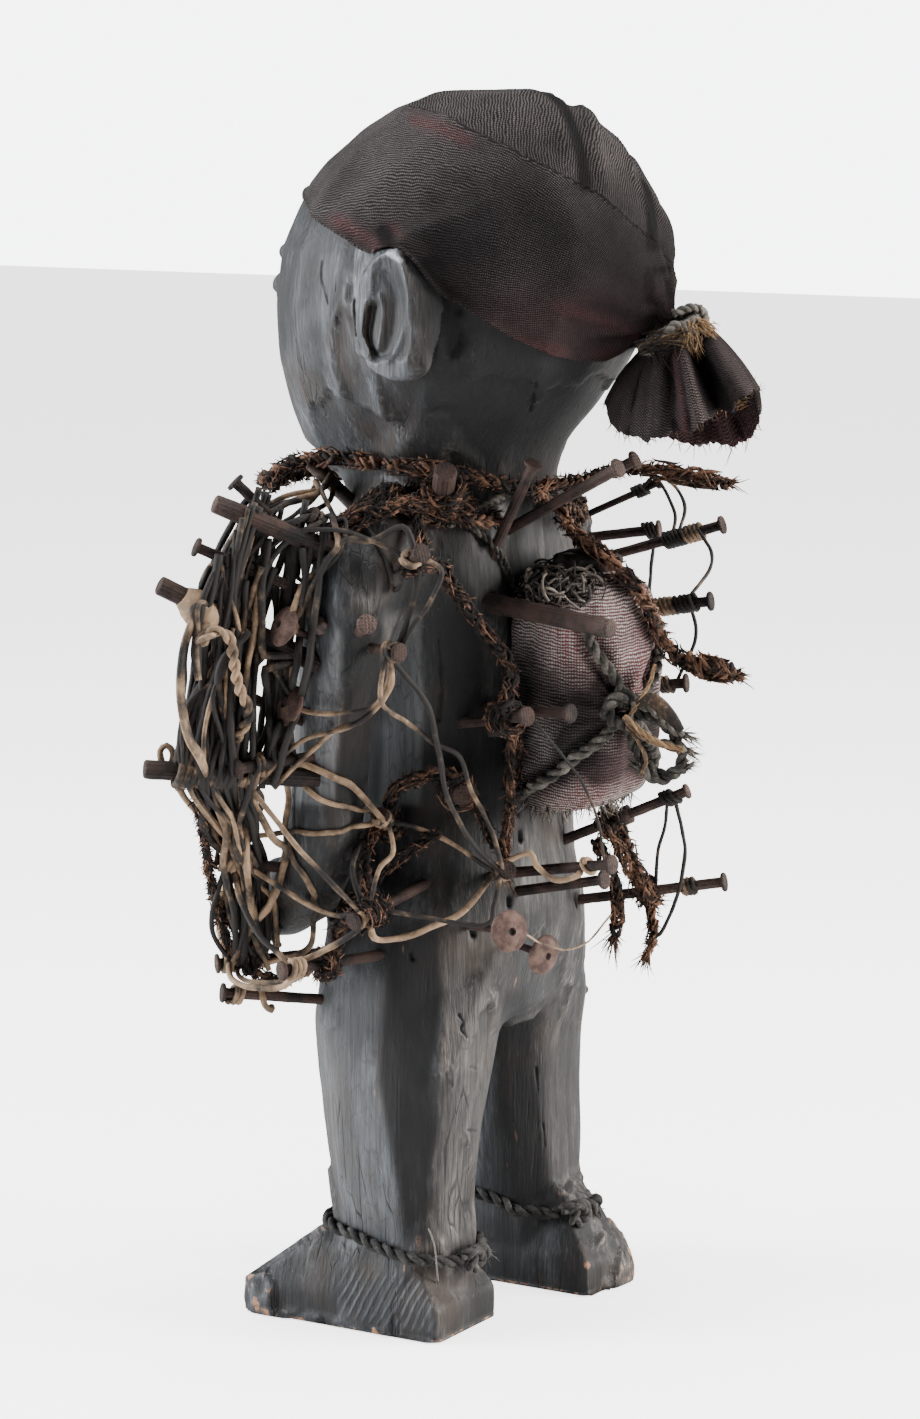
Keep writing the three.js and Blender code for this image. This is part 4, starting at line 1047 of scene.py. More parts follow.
pull = np.clip(1 - level / ((40 + 28 * rise(away[:, 2], -4 * MM, 24 * MM)) * MM), 0, 1) ** 1.5
rows += out_of_head * (20 * MM * pull)[:, None]
rows -= (away - (away @ out_of_head)[:, None] * out_of_head) * (0.3 * pull**2)[:, None]
put_rows(dome, rows)

# Where the red warp shows, and how the ribs run: into the knot below the doubled edge, aslant above it.
place = pictured(rows)
near_side = rise(normals @ (eye - CROWN) / np.linalg.norm(eye - CROWN), 0.0, 0.3)
RED_LINES = (
    (((417, 121), (444, 130), (466, 141)), 7), (((338, 221), (360, 234), (384, 250)), 8),
    (((560, 308), (605, 321), (642, 337)), 7),
    (((598, 352), (622, 354)), 5), (((400, 236), (392, 226)), 6), (((648, 280), (652, 316)), 3),
    (((520, 345), (560, 352)), 8),
)
# Painted shade on the side that faces the lens: black lines along the overlap's fold, in the slits and folds
# at the knot, in the hollow above the ear, along the pressed fold behind and where the ear shades the cloth.
CLOTH_SHADE_LINES = (
    (((510, 78), (535, 85), (556, 99), (567, 117), (575, 137), (581, 158), (585, 186)), 5.5),
    (((648, 276), (650, 298), (655, 314)), 3.0), (((668, 282), (671, 297), (677, 308)), 2.5),
    (((388, 244), (384, 232)), 6.0),
    (((618, 126), (640, 172), (650, 210), (651, 246)), 3.6), (((668, 268), (650, 272)), 2.5),
    (((440, 300), (430, 270)), 9.0),
)
dirt_and_painted_shade = 1.5 * sum(hill(beside(place, stops), wide) for stops, wide in CLOTH_SHADE_LINES) * near_side
# Broad painted shade across the middle and the lower cloth, darker than its lit top.
dirt_and_painted_shade += 0.78 * hill(beside(place, ((430, 262), (500, 232), (560, 240), (640, 262))), 72)
dirt_and_painted_shade += 0.35 * hill(beside(place, ((470, 310), (560, 335), (640, 330))), 40)
red = 0.35 * rise(place[:, 1], 240, 320)
red += 0.8 * sum(hill(beside(place, stops), wide) for stops, wide in RED_LINES) * near_side
polar = np.arccos(np.clip(((rows - CROWN) @ out_of_head) / np.linalg.norm(rows - CROWN, axis=1), -1, 1))
dome_uv = np.stack([around * 92, polar * 92], axis=1)
doubled = drawn(tree, DOUBLED, 200)
nearest = np.linalg.norm(rows[:, None, :] - doubled[None, ::2], axis=2).argmin(axis=1)
above = np.cross(normals, np.gradient(doubled, axis=0)[::2][nearest])
above = (((rows - doubled[::2][nearest]) * above).sum(axis=1) > 0) & (rows[:, 2] > CROWN[2])
round_it, down = dome_uv.T
slanting = np.stack([0.5 * round_it + 0.87 * down, 0.87 * round_it - 0.5 * down], axis=1)
dome_uv = np.where(above[:, None], slanting, dome_uv)

# The tail: each column runs from the binding to the torn edge, between places of the lens's frame, and
# swells towards the lens or away from it. Columns count from the right, first on the near side.
TAIL_BEARINGS = (0, 20, 38, 55, 70, 85, 100, 125, 150, 170, 185, 205, 240, 280, 310, 335, 350, 360)
TAIL_EDGE = (
    (761, 391), (751, 387), (741, 389), (729, 403), (714, 413), (694, 418), (680, 428), (654, 436),
    (628, 433), (611, 424),
    (605, 402), (616, 420), (650, 438), (700, 446), (730, 447), (750, 434), (760, 414), (761, 391),
)
right_way = to_world[:, 0]
near_way = np.array((right_way[1], -right_way[0], 0))
s = np.linspace(0, 1, TAIL_ROWS)[:, None]
phi = np.linspace(0, 2 * np.pi, TAIL_COLUMNS, endpoint=False)
bearing = np.degrees(phi)
neck = np.stack([673 + 24 * np.cos(phi), 331 - 13 * np.cos(phi)], axis=1)
edge = np.stack([np.interp(bearing, TAIL_BEARINGS, row) for row in np.transpose(TAIL_EDGE)], axis=1)
stitched = np.stack([np.cos(phi), np.sin(phi), 0 * phi], axis=1)
edge += (3.4 * noise(stitched, 0.14, 4, 2) + 2.0 * noise(stitched, 0.03, 6, 1))[:, None] * (0.5, 1)
sag = np.sin(np.pi * s) * (3.0 * np.cos(phi) ** 3)
u = neck[:, 0] + (edge[:, 0] - neck[:, 0]) * s**0.85 + sag
v = neck[:, 1] + (edge[:, 1] - neck[:, 1]) * s
crumple = np.stack(np.broadcast_arrays(np.cos(phi), np.sin(phi), 0.9 * s), axis=-1).reshape(-1, 3)
crumpled = noise(crumple, 0.5, 17, 3).reshape(TAIL_ROWS, TAIL_COLUMNS)
gathers = 0.05 * np.cos(11 * phi + 3 * s) * (1 - s) + 0.27 * s * crumpled
near_fold = 0.42 * hill(bearing - 34, 18) - 1.05 * hill(bearing - 66, 8) + 0.3 * hill(bearing - 84, 7)
near_fold += 0.14 * hill(bearing - 97, 4) - 0.3 * hill(bearing - 108, 7) + 0.12 * hill(bearing - 126, 10)
near_fold += -0.22 * hill(bearing - 150, 6)
far_fold = -0.3 * hill(bearing - 225, 10) - 0.35 * hill(bearing - 275, 10) - 0.2 * hill(bearing - 320, 10)
swell = 1 + (near_fold + far_fold) * rise(s, 0.05, 0.4) + gathers
depth = np.sin(phi) * swell * (9 + 17 * np.sin(0.5 * np.pi * s)) * MM
depth += 1.3 * MM * s * noise(stitched, 0.16, 8, 2)
depth += rise(bearing, 275, 320) * rise(-bearing, -362, -345) * rise(s, 0.6, 1) * 9 * MM
knot_deep = (KNOT - eye) @ -to_world[:, 2]


def at_knot(u, v):
    """The places seen at points of the lens's frame, as deep as the knot."""
    across, up = (u - FRAME_WIDTH / 2) / FOCAL, (FRAME_HEIGHT / 2 - v) / FOCAL
    return eye + (np.stack([across, up, -np.ones(u.shape)], axis=-1) @ to_world.T) * knot_deep


tail = at_knot(u, v) + near_way * depth[..., None]
tail_uv = np.stack([s * 46 + phi * 20, phi * 27 - s * 35], axis=-1)
tail_red = 0.2 + 0.9 * hill(bearing - 97, 3) + 0.6 * rise(bearing, 190, 215) * rise(-bearing, -355, -335)
tail_red = tail_red * np.ones((TAIL_ROWS, 1))
# The tail is darkened overall. Painted shade deepens it in the hollow round 58 degrees, and painted light
# eases it on the bulges round 22 and 84 degrees; it is also less dark on the far side and towards the torn
# edge.
tail_painted_shade = 0.72 - 0.5 * hill(bearing - 84, 6) - 0.35 * hill(bearing - 22, 14) - 0.5 * rise(bearing, 190, 215)
tail_painted_shade = (tail_painted_shade + 0.4 * hill(bearing - 58, 14)) * (1 - 0.3 * s)

rows = np.concatenate([rows_of(dome), tail.reshape(-1, 3)])
tail_quads = grid(TAIL_ROWS, TAIL_COLUMNS, CLOTH_ROWS * CLOTH_COLUMNS)[:, ::-1]
quads = np.concatenate([grid(CLOTH_ROWS, CLOTH_COLUMNS), tail_quads])
cloth_mesh = wound(
    rows, quads, [top], "head_cloth_sewn", np.concatenate([np.clip(red, 0, 1), tail_red.ravel()]),
    np.concatenate([dome_uv, tail_uv.reshape(-1, 2)]),
)
put_values(cloth_mesh, "dirt_and_painted_shade", np.clip(np.concatenate([dirt_and_painted_shade, tail_painted_shade.ravel()]), 0, 1))


def weave(name, dark, light, warp, pitch, red_most, mottled):
    """A coarse cloth: thick ribs a pitch apart and fine threads across them, worn pale on top with painted
    shade between, redder there where the mesh's tone says, and black where its dirt and painted shade do."""
    made, shader, nodes = paint(name)
    place = nodes.place()
    pattern = nodes.along()
    u, v = pattern.part("X"), pattern.part("Y")
    ribs = (u + place.noise(150, 4, 0.65) * (2.4 * pitch)).wave(pitch)
    threads = (v + ribs.step(0.2, 0.8) * (0.4 * pitch)).wave(0.8 * pitch)
    fuzz = place.noise(1300, 3, 0.7)
    lightened = place.noise(34, 4, 0.65)
    redness = stored(nodes, "tone")
    height = ribs * (0.35 + threads * 0.65)
    dirt_and_painted_shade = stored(nodes, "dirt_and_painted_shade")
    rubbed = 1 - mottled + lightened.step(0.32, 0.66) * mottled
    pale = (0.1 + height.step(0.15, 0.85) * 1.1) * rubbed * (0.5 + fuzz) * (1 - dirt_and_painted_shade * 0.9)
    red_threads = v.wave(2.7 * pitch).step(0.7, 0.95)
    showing = 0.25 + (1 - height.step(0.1, 0.6)) * 0.5 + red_threads * 0.5
    reddened = redness * showing * fuzz.step(0.35, 0.6) * (1 - dirt_and_painted_shade * 0.8)
    tone = (reddened * red_most).mix(pale.mix(dark, light), warp)
    connect(shader, Base_Color=tone, Roughness=0.95, Specular_IOR_Level=0.06)
    connect(shader, Normal=relief(height * 0.8 + fuzz * 0.4, 0.42 * MM, 1.0))
    return made


kerchief = weave("kerchief_weave", WEFT, WORN_WEFT, RED_WARP, 1.35, 0.75, 0.42)
head_cloth = piece_of("head_cloth_sewn", cloth_mesh, kerchief)
wall = head_cloth.modifiers.new("wall", "SOLIDIFY")
wall.thickness = CLOTH_THICKNESS
wall.offset = 0
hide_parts("head_cloth")

# Binding: grey twisted fibre wound round the gathered cloth and tied off, with a tuft of brown fur and
# a paler one caught under it.
GREY_FIBRE = (0.12, 0.108, 0.094, 1)
DARK_FIBRE = (0.01, 0.009, 0.008, 1)
FUR = (0.22, 0.13, 0.065, 1)


def tubes(paths, radii, sides, squash):
    """Closed round strands of equal step count. Each place on a path carries a ring square to the path,
    turned by the direction in which that path turns least."""
    paths = np.asarray(paths, float)
    radii = np.broadcast_to(radii, paths.shape[:2])
    ways = unit(np.gradient(paths, axis=1))
    still = np.linalg.eigh(np.einsum("mni,mnj->mij", ways, ways))[1][:, :, 0]
    across = unit(np.cross(ways, still[:, None]))
    up = np.cross(ways, across)
    angle = np.arange(sides) * 2 * np.pi / sides
    ring = across[:, :, None] * np.cos(angle)[:, None] + up[:, :, None] * np.sin(angle)[:, None] * squash
    rows = paths[:, :, None] + radii[..., None, None] * ring
    count, steps = paths.shape[:2]
    index = np.arange(count * steps * sides).reshape(count, steps, sides)
    after = np.roll(index, -1, axis=2)
    quads = np.stack([index[:, :-1], after[:, :-1], after[:, 1:], index[:, 1:]], axis=-1).reshape(-1, 4)
    return rows.reshape(-1, 3), quads, [index[:, 0, ::-1], index[:, -1]]


class Skein:
    """Strands gathered into one mesh, each with a tone from 0 to 1."""

    def __init__(self):
        self.rows, self.quads, self.caps, self.tones, self.size = [], [], [], [], 0

    def add(self, paths, radii, sides, tones, squash=1.0):
        """Adds strands of equal step count."""
        rows, quads, caps = tubes(paths, radii, sides, squash)
        self.rows.append(rows)
        self.quads.append(quads + self.size)
        self.caps += [cap + self.size for cap in caps]
        self.tones.append(np.repeat(np.broadcast_to(tones, len(paths)), len(rows) // len(paths)))
        self.size += len(rows)

    def piece(self, name, coat, slot, *nodes):
        """The finished object, in place of the CAD nodes."""
        rows, quads, tones = map(np.concatenate, (self.rows, self.quads, self.tones))
        made = piece_of(name, wound(rows, quads, self.caps, name, tones), coat)
        if nodes:
            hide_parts(*nodes)
        return made


def sides_of(path):
    """Two directions square to a path at each place: the first also square to the direction in which
    the path turns least."""
    ways = unit(np.gradient(path, axis=0))
    still = np.linalg.eigh(ways.T @ ways)[1][:, 0]
    across = unit(np.cross(ways, still))
    return across, np.cross(ways, across)


def plied(path, radius, plies, pitch, start=0.0):
    """The middles of plies that wind round a path at even angles, once in each pitch."""
    across, up = sides_of(path)
    place = run_of(path)
    angle = 2 * np.pi * (place / pitch + start + np.arange(plies)[:, None] / plies)
    return path + radius * (np.cos(angle)[..., None] * across + np.sin(angle)[..., None] * up)


def hairs(roots, ways, lengths, curl, steps=5):
    """Thin loose ends: each leaves its root along a direction and bends aside by a share of its length."""
    t = np.linspace(0, 1, steps)[:, None]
    bend = chance.normal(size=(len(roots), 1, 3)) * (np.asarray(lengths) * curl)[..., None, None]
    return roots[:, None] + ways[:, None] * t * np.asarray(lengths)[..., None, None] + bend * t**2


def fibre(name, dark, light, pale, scale, rough=0.85, lit=(0.3, 0.75), patchy=0.55):
    """Dry fibre: fine streaks and patches, from dark to light by each strand's tone, pale where broken."""
    made, shader, nodes = paint(name)
    place = nodes.place()
    tone_of = stored(nodes, "tone")
    streaks = place.noise(scale, 4, 0.7)
    blotch = place.noise(scale * 0.14, 3, 0.6)
    fade = (tone_of * 0.65 + (blotch - 0.5) * patchy + streaks * 0.35).step(*lit)
    tone = fade.mix(dark, light)
    tone = ((fade * streaks.step(0.55, 0.75)) * 0.7).mix(tone, pale)
    connect(shader, Base_Color=tone, Roughness=rough, Specular_IOR_Level=0.25)
    connect(shader, Normal=relief(streaks, 0.4 * MM, 0.7))
    return made


def facing(u, v, near):
    """The places seen at points of the lens's frame, as deep as the knot, then moved towards the lens by
    millimetres."""
    return at_knot(*np.broadcast_arrays(u, v)) + near_way * np.asarray(near)[..., None] * MM


chance = np.random.default_rng(11)
grey_fibre = fibre("grey_fibre", DARK_FIBRE, GREY_FIBRE, (0.36, 0.3, 0.21, 1), 800, 0.85, (0.36, 0.9), 1.0)
binding = Skein()
for layer in range(5):
    turns = np.linspace(0, 2 * np.pi * 2.4, 120) + layer * 1.7
    swing = 1 + 0.05 * layer
    along = np.linspace(-10, 10, 120) * (1 if layer % 2 else -1) * (1 - 0.08 * layer)
    along = along + 2 * np.sin(turns * 0.5 + layer)
    path = facing(
        673 + 27 * swing * np.cos(turns) + 0.48 * along, 331 - 15 * swing * np.cos(turns) + 0.88 * along,
        (10.5 + 0.8 * layer) * np.sin(turns),
    )
    for ply in plied(path, 0.7 * MM, 2, 7 * MM, layer * 0.3):
        binding.add(ply[None], 0.95 * MM, 6, (0.1, 0.75, 0.3, 0.55, 0.85)[layer] + 0.1 * chance.random(1))
TIE = (
    (672, 312, 11), (690, 306, 10), (702, 312, 8), (704, 326, 9), (690, 330, 13), (676, 322, 14),
    (664, 330, 14),
)
tie = curve(facing(*np.transpose(TIE)), 90)
for ply in plied(tie, 0.9 * MM, 2, 8 * MM):
    binding.add(ply[None], 1.25 * MM, 6, 0.75)
binding.piece("cloth_binding_wound", grey_fibre, "fibre_rope", "head_cloth_binding")

fur_coat = fibre("brown_fur", (0.01, 0.007, 0.006, 1), FUR, (0.6, 0.5, 0.36, 1), 500, 0.75, (0.35, 0.85))
fur = Skein()
fine_end = np.array((1, 0.95, 0.75, 0.5, 0.15)) * MM
up_way = to_world[:, 1]
# Tufts: how many, middle and spread in the lens's frame, way across and up, length and tones.
TUFTS = (
    (150, (652, 346), (9, 4), (0.9, 0.42), (9, 17), (0.0, 0.5)),
    (120, (664, 338), (8, 5), (0.95, 0.1), (8, 14), (0.15, 0.75)),
    (130, (688, 327), (5, 4), (0.12, -1.0), (7, 12), (0.6, 1.0)),
    (70, (701, 322), (3, 3), (0.75, -0.6), (4, 7), (0.95, 1.0)),
    (60, (664, 348), (9, 3), (0.2, -1.0), (5, 9), (0.0, 0.35)),
)
for count, middle, spread, lean, long, tones in TUFTS:
    place = np.array(middle) + chance.normal(size=(count, 2)) * spread
    root = facing(*place.T, chance.uniform(10.5, 15, count))
    way = right_way * lean[0] + up_way * lean[1] + chance.normal(size=(count, 3)) * 0.2
    strands = hairs(root, way, chance.uniform(*long, count) * MM, 0.14)
    fur.add(strands, 0.36 * fine_end, 3, chance.uniform(*tones, count))
fur.piece("cloth_binding_fur", fur_coat, "fibre_rope")

# Loose threads of the tail's torn edge, and pale fibre caught in its mouth.
threads = Skein()
torn = tail[-1]
pick = chance.integers(0, TAIL_COLUMNS, 150)
hang = -up_way * 0.8 + chance.normal(size=(150, 3)) * 0.5
strands = hairs(torn[pick], hang, chance.uniform(1.5, 5, 150) * MM, 0.3)
threads.add(strands, 0.22 * fine_end, 3, chance.uniform(0, 0.7, 150))
place = np.array((738, 402)) + chance.normal(size=(60, 2)) * (9, 3)
place = place + np.linspace(-1, 1, 60)[:, None] * (9, -8)
way = right_way * 0.7 + up_way * 0.5 + chance.normal(size=(60, 3)) * 0.3
strands = hairs(facing(*place.T, -2.0), way, chance.uniform(4, 8, 60) * MM, 0.2)
threads.add(strands, 0.35 * fine_end, 3, chance.uniform(0.6, 1, 60))
threads.piece("head_cloth_threads", fur_coat, "fibre_rope")

# Medicine bundle: a packet of the same kind of cloth filled with earth and fibre, tied to the middle
# of the back. It is open at the top, where the curled fibre of its filling spills over.
PACK_VOXEL = 1.5 * MM
pack = even_copy("medicine_bundle", PACK_VOXEL)
relax(pack, 16, np.ones(len(pack.vertices)))
rows, normals = rows_of(pack), rows_of(pack, "normal")
pack_middle = at((3, 56, 303))
rows += normals * (1.3 * MM)
put_rows(pack, rows)
pack_tree = tree_of(pack)
PACK_ROUTES = (
    ((587, 628), (592, 645), (604, 664), (616, 684), (622, 706)),
    ((668, 634), (654, 660), (645, 686), (628, 706)),
    ((619, 714), (602, 737), (576, 756), (552, 776), (528, 789), (511, 797)),
    ((628, 712), (642, 735), (656, 756), (662, 772)),
)
routes = [drawn(pack_tree, route, 60, 0.5 * MM) for route in PACK_ROUTES]
rows, normals = rows_of(pack), rows_of(pack, "normal")
move = 0.9 * MM * noise(rows, 24 * MM, 31, 2) + 0.45 * MM * noise(rows * (1, 1, 0.3), 9 * MM, 32, 2)
# Creases and, below 0, full places: their lines in the lens's frame, width and depth in millimetres.
CREASES = (
    (((603, 630), (608, 662), (606, 700)), 6, 2.2), (((560, 622), (548, 680), (552, 740)), 12, -1.4),
    (((640, 620), (645, 660), (640, 690)), 6, -1.6),
    (((590, 735), (585, 765), (596, 790)), 5, 1.6), (((530, 640), (524, 700), (530, 750)), 5, 1.2),
    (((622, 740), (630, 765), (626, 790)), 4, 1.6),
)
for stops, wide, deep in CREASES:
    move -= deep * MM * hill(apart_from(rows, drawn(pack_tree, stops, 40)), wide * MM)
for route in routes:
    apart = apart_from(rows, route)
    move -= 2.6 * MM * hill(apart, 5 * MM) - 1.1 * MM * hill(apart - 9 * MM, 5 * MM)
knot_place = seen(pack_tree, 622, 709)
away = rows - knot_place
level = np.linalg.norm(away, axis=1)
around = np.arctan2(away[:, 2], away @ np.cross(-ray(690, 330), (0, 0, 1)))
ruffled = np.cos(13 * around + 1.5 * noise(rows, 20 * MM, 8, 1))
move += 0.9 * MM * ruffled * rise(level, 4 * MM, 12 * MM) * (1 - rise(level, 16 * MM, 44 * MM))
rows += normals * np.maximum(move, -3.2 * MM)[:, None]
put_rows(pack, rows)
place = pictured(rows)
reddish = 0.35 + 0.5 * noise(rows, 30 * MM, 12, 2)
reddish += 0.6 * hill(beside(place, ((652, 600), (646, 650), (640, 690))), 14)
reddish += hill(beside(place, ((585, 790), (610, 770), (632, 745))), 20)
put_values(pack, "tone", np.clip(reddish, 0, 1))
corner = np.empty(len(pack.loops), np.int32)
pack.loops.foreach_get("vertex_index", corner)
spread = rows - pack_middle
bearing = np.arctan2(spread[:, 0], spread[:, 1])
pack_uv = np.stack([spread[:, 2] * 1000 + 2.5 * np.sin(bearing * 2), bearing * 36], axis=1)
pack.uv_layers.new(name="along").data.foreach_set("uv", pack_uv[corner].astype(np.float32).ravel())
# Dirt at random; painted shade in the folds, down the left edge, along the bottom and round the rope's
# crossing; rubbed pale at the mouth and paler at the left middle; red on the right and along the hem.
dirt_and_painted_shade = 0.06 + 0.6 * noise(rows, 30 * MM, 52, 2)
PACK_SHADE_AND_PALE = (
    (((586, 640), (600, 668), (612, 704)), 9, 1.0), (((606, 692), (596, 728), (570, 748)), 15, 1.0),
    (((509, 610), (514, 680), (516, 750)), 17, 0.9), (((650, 700), (655, 740), (650, 770)), 12, 0.5),
    (((560, 775), (530, 790), (515, 796)), 12, 0.6), (((620, 728), (628, 752), (640, 772)), 8, 0.8),
    (((604, 566), (603, 606)), 8, -1.2), (((530, 772), (570, 765), (615, 776)), 20, 0.75),
    (((600, 770), (628, 756), (646, 740)), 18, 0.8),
    (((530, 650), (560, 690), (575, 740)), 26, 0.35), (((636, 590), (648, 630), (652, 670)), 13, 0.3),
    (((628, 590), (622, 640), (624, 664)), 13, -0.6), (((552, 640), (560, 690)), 14, -0.35),
)
for stops, wide, much in PACK_SHADE_AND_PALE:
    dirt_and_painted_shade += much * hill(beside(place, stops), wide)
put_values(pack, "dirt_and_painted_shade", np.clip(dirt_and_painted_shade, -0.5, 1))
packet = weave(
    "packet_weave", (0.007, 0.006, 0.0065, 1), (0.4, 0.37, 0.35, 1), (0.12, 0.024, 0.028, 1), 1.5, 0.95, 0.6
)
bundle = piece_of("medicine_bundle_cloth", pack, packet)
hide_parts("medicine_bundle")

# Its rope: grey two-ply fibre, crossed over the packet and knotted on its face, with frayed ends.
ROPE = 2.9 * MM


def rope(skein, path, radius, pitch, tone=0.5, plies=2, sides=8, rough=0.12):
    """Plies laid round a path, each half as thick as the rope and a little uneven."""
    for ply in plied(path, radius * 0.5, plies, pitch, chance.random()):
        uneven = 1 + rough * noise(ply, radius * 1.1, int(chance.integers(99)), 2)
        skein.add(ply[None], radius * 0.56 * uneven[None], sides, tone + 0.2 * chance.random(1))


def fray(skein, end, way, count, length, spread, tone, thick=0.3):
    """A brush of loose fibres at a rope's end."""
    way = np.asarray(way, float) / np.linalg.norm(way)
    root = end + chance.normal(size=(count, 3)) * (0.8 * MM)
    ways = way + chance.normal(size=(count, 3)) * spread
    paths = hairs(root, ways, chance.uniform(0.5, 1, count) * length, 0.2)
    skein.add(paths, thick * MM * np.array((1, 0.95, 0.8, 0.6, 0.25)), 3, tone + 0.3 * chance.random(count))


def fuzz(skein, path, every, length, tone, spread=0.8, thick=0.22, off=0.0):
    """Short ends that stand off a path all along it, pointing mostly forwards."""
    count = max(int(length_of(path) / every), 2)
    at_row = chance.integers(0, len(path) - 1, count)
    ways = unit(np.gradient(path, axis=0)[at_row])
    aside = chance.normal(size=(count, 3))
    aside = unit(aside - (aside * ways).sum(axis=1, keepdims=True) * ways)
    root, ways = path[at_row] + aside * off, ways * 0.7 + aside * spread
    paths = hairs(root, ways, chance.uniform(0.4, 1, count) * length, 0.25, 4)
    skein.add(paths, thick * MM * np.array((1, 0.85, 0.6, 0.2)), 3, tone * chance.random(count))


pack_rope = Skein()
for route in PACK_ROUTES:
    path = drawn(pack_tree, route, 90, 1.9 * MM)
    rope(pack_rope, path, ROPE, 13 * MM)
    fuzz(pack_rope, path, 2.2 * MM, 5 * MM, 0.9, off=ROPE * 0.6)
knot_off = knot_place - ray(690, 330) * 5 * MM
KNOT_WAY = (
    (-6, 6, 2), (0, 2, 7), (6, -4, 3), (3, -2, -6), (-5, 3, -5), (-5, 5, 4), (2, -1, 6), (6, -5, -2),
    (0, 0, -6),
)
ball = curve(knot_off + np.array(KNOT_WAY) * MM, 110)
rope(pack_rope, ball, ROPE, 13 * MM, 0.45)
fuzz(pack_rope, ball, 1.2 * MM, 6 * MM, 0.9)
# Loose ends: route in the lens's frame, tone, and how near.
ENDS = (
    (((630, 714), (640, 732), (655, 741), (672, 745), (686, 751)), 0.95, 7),
    (((632, 706), (648, 708), (662, 718), (672, 729), (684, 735)), 0.8, 9),
    (((628, 716), (634, 745), (648, 766), (664, 775), (684, 768)), 0.45, 4),
    (((634, 712), (660, 722), (676, 738), (682, 756), (676, 772), (658, 780), (640, 768)), 0.4, 4),
)
knot_depth = np.linalg.norm(knot_off - eye)
for route, tone, depth in ENDS:
    places = [eye + ray(u, v) * (knot_depth - (depth + 3 * k) * 0.2 * MM) for k, (u, v) in enumerate(route)]
    path = curve(places, 70)
    rope(pack_rope, path, ROPE * (0.95 if tone < 0.6 else 0.75), 12 * MM, tone)
    fuzz(pack_rope, path, 1.8 * MM, 5 * MM, 0.9)
    fray(pack_rope, path[-1], path[-1] - path[-6], 40, 7 * MM, 0.3, tone)
thin_cords = Skein()
CORDS = (
    (((446, 528), (462, 516), (480, 508), (506, 494)), 1.9, 0.45),
    (((460, 524), (478, 536), (494, 552), (503, 570), (511, 592)), 1.6, 0.3),
)
for route, thick, tone in CORDS:
    path = drawn(wood_tree, route, 70, (thick + 1.5) * MM)
    rope(thin_cords, path, thick * MM, 8 * MM, tone)
    fuzz(thin_cords, path, 2 * MM, 3 * MM, 0.9)
thin_cords.piece("grey_cords_laid", grey_fibre, "fibre_rope")
pale_strands = Skein()
PALE_STRANDS = (
    (((624, 716), (640, 730), (658, 742), (684, 750)), 11, 1.5, 0.6, 1.0),
    (((626, 722), (644, 738), (664, 747), (680, 752)), 10, 1.1, 0.6, 0.8),
    (((636, 704), (652, 700), (668, 714), (682, 731)), 8, 2.6, 0.3, 0.35),
    (((630, 716), (640, 700), (650, 682), (655, 664)), 8, 1.1, 0.5, 0.9),
    (((626, 725), (640, 745), (646, 762), (640, 776)), 9, 1.0, 0.6, 0.7),
)
for route, near, thick, flat, tone in PALE_STRANDS:
    path = curve([eye + ray(u, v) * (knot_depth - near * MM) for u, v in route], 40)
    if flat > 0.4:
        for ply in plied(path, thick * 0.5 * MM, 3, 16 * MM, chance.random()):
            pale_strands.add(ply[None], thick * 0.42 * MM, 6, tone - 0.3 * chance.random(1), flat)
    else:
        pale_strands.add(path[None], thick * MM * (0.35 + np.sin(np.linspace(0.4, 2.9, 40))), 8, tone, flat)
pale_strands.piece("bundle_pale_strands", fur_coat, "fibre_rope")
pack_rope.piece("bundle_rope_laid", grey_fibre, "fibre_rope", "bundle_rope")

# The filling that shows at the packet's mouth: a tangle of dark curled plant fibre.
tangle = Skein()
count = 420
spot = chance.normal(size=(count, 3))
spot[:, 2] = np.abs(spot[:, 2])
spot = unit(spot)
heap = at((4, 57, 357)) + (near_way * 7 - right_way * 7 - up_way * 9) * MM
root = heap + spot * np.array((25, 21, 12)) * MM * chance.uniform(0.75, 1.0, (count, 1))
axis_way = unit(chance.normal(size=(count, 3)))
t = np.linspace(0, 1, 16)
curl = chance.uniform(2.4, 7.5, (count, 1)) * MM
turn = chance.uniform(1.6, 4.6, (count, 1)) * t + chance.uniform(0, 6, (count, 1))
one = unit(np.cross(axis_way, spot))
two = np.cross(axis_way, one)
paths = root[:, None] + axis_way[:, None] * (chance.uniform(4, 12, (count, 1)) * MM * (t - 0.5))[..., None]
paths = paths + one[:, None] * (curl * np.cos(turn))[..., None]
paths = paths + two[:, None] * (curl * np.sin(turn))[..., None]
tangle.add(paths, chance.uniform(0.35, 0.85, (count, 1)) * MM, 4, chance.random(count) ** 1.4)
hem = rows_of(pack)
hem = hem[hem[:, 2] < hem[:, 2].min() + 7 * MM]
hem = hem[chance.integers(0, len(hem), 260)]
hang = np.array((0, 0.1, -1)) + chance.normal(size=hem.shape) * 0.35 + (hem - pack_middle) * (6, 6, 0)
strands = hairs(hem, hang, chance.uniform(2, 6, 260) * MM, 0.3)
tangle.add(strands, 0.3 * fine_end, 3, chance.random(260))
dark_fibre = fibre(
    "dark_curled_fibre", (0.014, 0.012, 0.011, 1), (0.2, 0.17, 0.145, 1), (0.38, 0.32, 0.25, 1), 900
)
heart = even_copy("bundle_fibre", 1.6 * MM)
relax(heart, 4, np.ones(len(heart.vertices)))
lumpy = rows_of(heart)
lumpy += rows_of(heart, "normal") * (1.6 * MM * noise(lumpy, 5 * MM, 3, 2) - 0.6 * MM)[:, None]
put_rows(heart, lumpy)
tangle.piece("bundle_fibre_tangle", dark_fibre, "fibre_rope", "bundle_fibre")
heart_piece = piece_of("bundle_fibre_heart", heart, dark_fibre)

